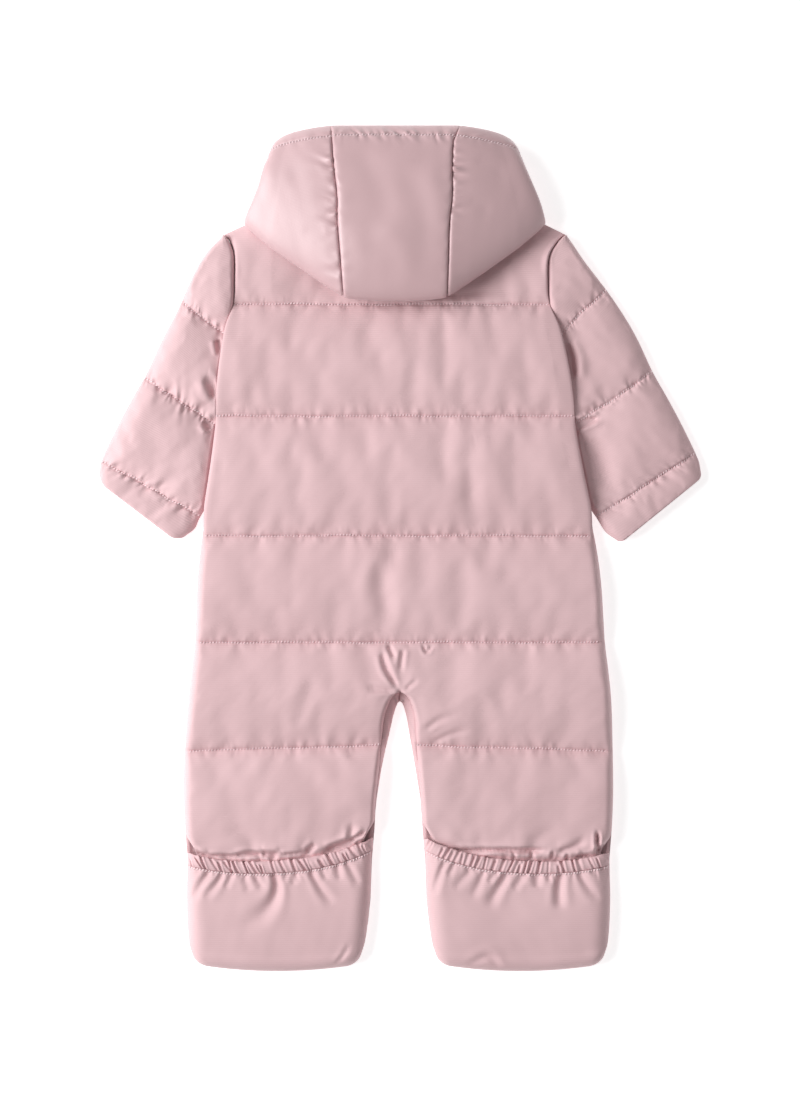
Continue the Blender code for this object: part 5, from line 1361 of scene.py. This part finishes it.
def makeFlap(sideName):
    f, left = footSizes, sideName == "left"
    sign, seed = (-1.0, 600) if left else (1.0, 700)
    foot = legEdges(suit["footCornerY"])
    c = np.linspace(0.0, 1.0, f["columns"] + 1)
    c = mix(c, 0.5 - 0.5 * np.cos(np.pi * c), 0.35)
    bottom = footBottom(mix(*foot, c), *foot)
    rows = []
    for share in np.concatenate([np.linspace(0.0, 0.5, 37)[:-1], np.linspace(0.5, 1.0, 21)]):
        ends = legEdges(mix(-262.0, suit["footCornerY"] + f["end"], share))

        def yAt(place):
            return mix(bandAt(place, 2) - suit["seamGap"] / 2, bottom + f["end"], share)

        rows.append(flapPoints(mix(*ends, c), yAt, *ends, curveAt(f["rows"], share), curveAt(f["rows"], share, 2)))
    for gap in (12.6, 11.2, 9.8, 8.4, 7.0, 5.6, 4.2, 3.0, 2.0, 1.1, 0.4, 0.0):
        ends = legEdges(suit["footCornerY"] + gap)
        rows.append(flapPoints(mix(*ends, c), lambda _: bottom + gap, *ends, *f["rows"][-1][1:], gap))
    outer, inner = (np.array(grid) for grid in zip(*rows))
    x, y = outer[:, :, 0], outer[:, :, 1]
    drop = outer[0][None, :, 1] - y

    def flare(place):
        return (place - 98.0) / 78.0 * 0.5

    rise = puckerRise(x, drop, (15.0, 182.0), seed + 5, *f["puckers"], sides=(1,), leanAt=flare)
    rise += foldRise(x * sign, y, flapFolds[sideName])
    rise += ripples(x, y, seed + 1, *f["waves"])
    edge = np.minimum(x - x[:, :1], x[:, -1:] - x)
    fade = smooth(0.0, 7.0, edge) * smooth(0.0, 9.0, y - footBottom(x, *foot))
    rise *= np.where(drop < 12.0, smooth(-1.0, 4.0, edge), fade)
    outer[:, :, 2] = np.maximum(outer[:, :, 2] + rise, inner[:, :, 2] + thinnest)
    outer, inner = laidPair(outer, inner, sideName)
    stitchLines.append(outer[1, 3:-3:2])
    return wallObject("foot_flap_" + sideName + "_cover", outer, inner, shellCloth, left)


def makeBand(sideName):
    f, seed = footSizes, 600 if sideName == "left" else 700
    ends = (inseamAt(-246.0), sideAt(-257.0))
    x = np.linspace(*ends, 325)
    rows = []
    for share in np.linspace(0.0, 1.0, 16):
        fold = gatherRise(x, share, seed, f["lean"][sideName])
        sway = (0.7 * fold + 0.3 * ripple(x, 0.0 * x, 9.0, seed)) * (1.0 - share) ** 2
        body = f["bandPuff"] * math.sin(math.pi * mix(0.06, 0.94, share)) ** 0.7 - 0.8 + 0.4 * share

        def yAt(place):
            return mix(bandAt(place), bandAt(place, 2) + suit["seamGap"] / 2, share) + sway

        rows.append(flapPoints(x, yAt, *ends, f["topZ"] + body + fold, lineAt(f["bandInside"], share)))
    outer, inner = laidPair(*(np.array(grid) for grid in zip(*rows)), sideName)
    return wallObject("foot_band_" + sideName + "_casing", outer, inner, bandCloth, sideName == "left")


# front, lying on the surface

frontSizes = {
    "cut": 3.5,  # spacing of the fine cells across
    "lines": (-7.0, -4.0, -2.2, -1.0, 0.0, 1.0, 2.2, 4.0, 7.0),  # rows of points beside a stitched line
    "groove": 1.5,
    "pucker": 0.9,
    "puckers": (11.0, 0.9, 6.0),  # spacing, depth, reach
    "stitchZ": 1.1,
}


def cutFront(sideName):
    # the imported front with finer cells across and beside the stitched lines, in millimetres
    node, f, q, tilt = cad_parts["front_" + sideName], frontSizes, suit["quiltLines"], suit["legLineTilt"]
    slope = tilt * (-1.0 if sideName == "left" else 1.0)
    mesh = node.data.copy()
    mesh.transform(node.matrix_world)
    mesh.transform(Matrix.Scale(1.0 / mm, 4))
    sheet = bmesh.new()
    sheet.from_mesh(mesh)
    bmesh.ops.remove_doubles(sheet, verts=sheet.verts, dist=0.001)
    cuts = [((0.0, y + d, 0.0), (0.0, 1.0, 0.0)) for y in q[:4] for d in f["lines"]]
    cuts += [((slope * 38.0, q[4] + tilt + d, 0.0), (2.0 * slope / 164.0, 1.0, 0.0)) for d in f["lines"]]
    cuts += [((x, 0.0, 0.0), (1.0, 0.0, 0.0)) for x in np.arange(-178.0, 178.0, f["cut"])]
    for place, heading in cuts:
        parts = sheet.verts[:] + sheet.edges[:] + sheet.faces[:]
        bmesh.ops.bisect_plane(sheet, geom=parts, dist=0.01, plane_co=place, plane_no=heading)
    bmesh.ops.recalc_face_normals(sheet, faces=sheet.faces)
    sheet.to_mesh(mesh)
    sheet.free()
    return mesh


def makeFront(sideName):
    f = frontSizes
    sign, seed = (-1.0, 800) if sideName == "left" else (1.0, 850)
    mesh = cutFront(sideName)
    piece = addObject("front_" + sideName + "_shell", mesh)
    points = np.empty(len(mesh.vertices) * 3)
    mesh.vertices.foreach_get("co", points)
    points = points.reshape(-1, 3)
    x, y, z = points.T
    width = np.abs(x)
    rise = np.zeros_like(x)
    for number in range(5):
        d = lineDistance(x, y, number)
        rise += f["groove"] * bell(d, 1.6)
        rise -= f["pucker"] * puckerRise(x, d, suitSpan, seed + number, *f["puckers"])
    under = smooth(1.6, 0.4, z) * smooth(3.0, 9.0, sideAt(y) - width) * smooth(3.0, 9.0, width)
    points[:, 2] += np.maximum(rise, 0.0) * under
    foot = legEdges(suit["footCornerY"])
    edge = np.minimum(width - foot[0], foot[1] - width)
    change = footBottom(width, *foot) - suit["footCornerY"] + suit["footDepth"] * roundRise(edge, 30.0)
    points[:, 1] += change * smooth(-321.0, -334.0, y)
    # the strip beside the inseam lies flatter than in the plain solid
    seamX = np.where(y > -162.3, crotchSeamAt(y), inseamAt(y) + inseamAt(y, 2))
    strip = (width < seamX + 0.4) & (z > 6.5) & (y < suit["crotchY"])
    points[:, 2] += np.where(strip, 0.55 * np.maximum(12.0 - z, 0.0), 0.0) * seamGroove(y) / backSizes["seamGroove"]
    points[(np.abs(x) < 1.0) & (y < -100.0), 0] = 0.0  # the two fronts touch under the crotch
    points = laid(points)
    mesh.vertices.foreach_set("co", (points * mm).ravel())
    mesh.materials.clear()
    while mesh.uv_layers:
        mesh.uv_layers.remove(mesh.uv_layers[0])
    dress(mesh, points[:, :2] * mm, shellCloth, 50)
    for number, at in enumerate(suit["quiltLines"]):
        inner = 12.0 if at > suit["crotchY"] else inseamAt(at) + 8.0
        across = np.arange(inner, sideAt(at) - 7.0, 2.0)
        lineY = at - lineDistance(across, np.full_like(across, at), number)
        stitchLines.append(laid(np.column_stack([sign * across, lineY, np.full_like(across, f["stitchZ"])])))
    return piece


# build

def addPiece(piece, slotName, *nodes):
    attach(piece, "suit")
    if nodes:
        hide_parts(*nodes)
    return piece


back = addPiece(makeBack(), "shell_cloth", "back")
print("back built")
makers = {
    "sleeve": (makeSleeve, "shell_cloth"),
    "hood_side": (makeHoodSide, "hood_cloth"),
    "foot_flap": (makeFlap, "shell_cloth"),
    "foot_band": (makeBand, "band_cloth"),
    "front": (makeFront, "shell_cloth"),
}
pieces = {kind: [] for kind in makers}
for sideName in ("left", "right"):
    for kind, (make, slotName) in makers.items():
        pieces[kind].append(addPiece(make(sideName), slotName, kind + "_" + sideName))
hoodCentre = addPiece(makeHoodCentre(), "hood_cloth", "hood_centre")
addPiece(makeStitching(), "shell_cloth")
addPiece(makeTeeth(), "zip_teeth")
print("sleeves, hood, feet and fronts built")

zipParts = {"tape_left": tapeCloth, "tape_right": tapeCloth, "chain": zipPlastic, "slider": zipMetal, "pull": zipMetal}
for nodeName, material in zipParts.items():
    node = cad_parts["zip_" + nodeName]
    node.data.materials.clear()
    node.data.materials.append(material)

# studio

studio = {
    "cameraHeight": 2.176,
    "lens": 85.0,
    "sensor": 36.0,
    "floorSize": 6.0,
    "world": 0.34,
    "key": {"at": (-2.02, 0.26, 1.55), "size": 2.2, "power": 84.0},
}


def makeStudio():
    half, key, scene = studio["floorSize"] / 2, studio["key"], bpy.context.scene
    mesh = bpy.data.meshes.new("floor")
    mesh.from_pydata([(-half, -half, 0), (half, -half, 0), (half, half, 0), (-half, half, 0)], [], [(0, 1, 2, 3)])
    mesh.materials.append(glowingFloorPaper)
    addObject("floor", mesh)
    lamp = bpy.data.lights.new("key", "AREA")
    lamp.shape, lamp.size, lamp.energy = "DISK", key["size"], key["power"]
    light = addObject("key", lamp)
    light.location = key["at"]
    light.rotation_euler = (-Vector(key["at"])).to_track_quat("-Z", "Y").to_euler()
    scene.world = bpy.data.worlds.new("studio")
    scene.world.use_nodes = True
    sky = scene.world.node_tree.nodes["Background"].inputs
    sky["Color"].default_value = (1.0, 1.0, 1.0, 1.0)
    sky["Strength"].default_value = studio["world"]
    lens = bpy.data.cameras.new("camera")
    lens.lens, lens.sensor_fit, lens.clip_start = studio["lens"], "VERTICAL", 0.01
    lens.sensor_width = lens.sensor_height = studio["sensor"]
    scene.camera = addObject("camera", lens)
    scene.camera.location = (0.0, 0.0, studio["cameraHeight"])
    scene.view_settings.view_transform = "Standard"


makeStudio()
print("studio built")
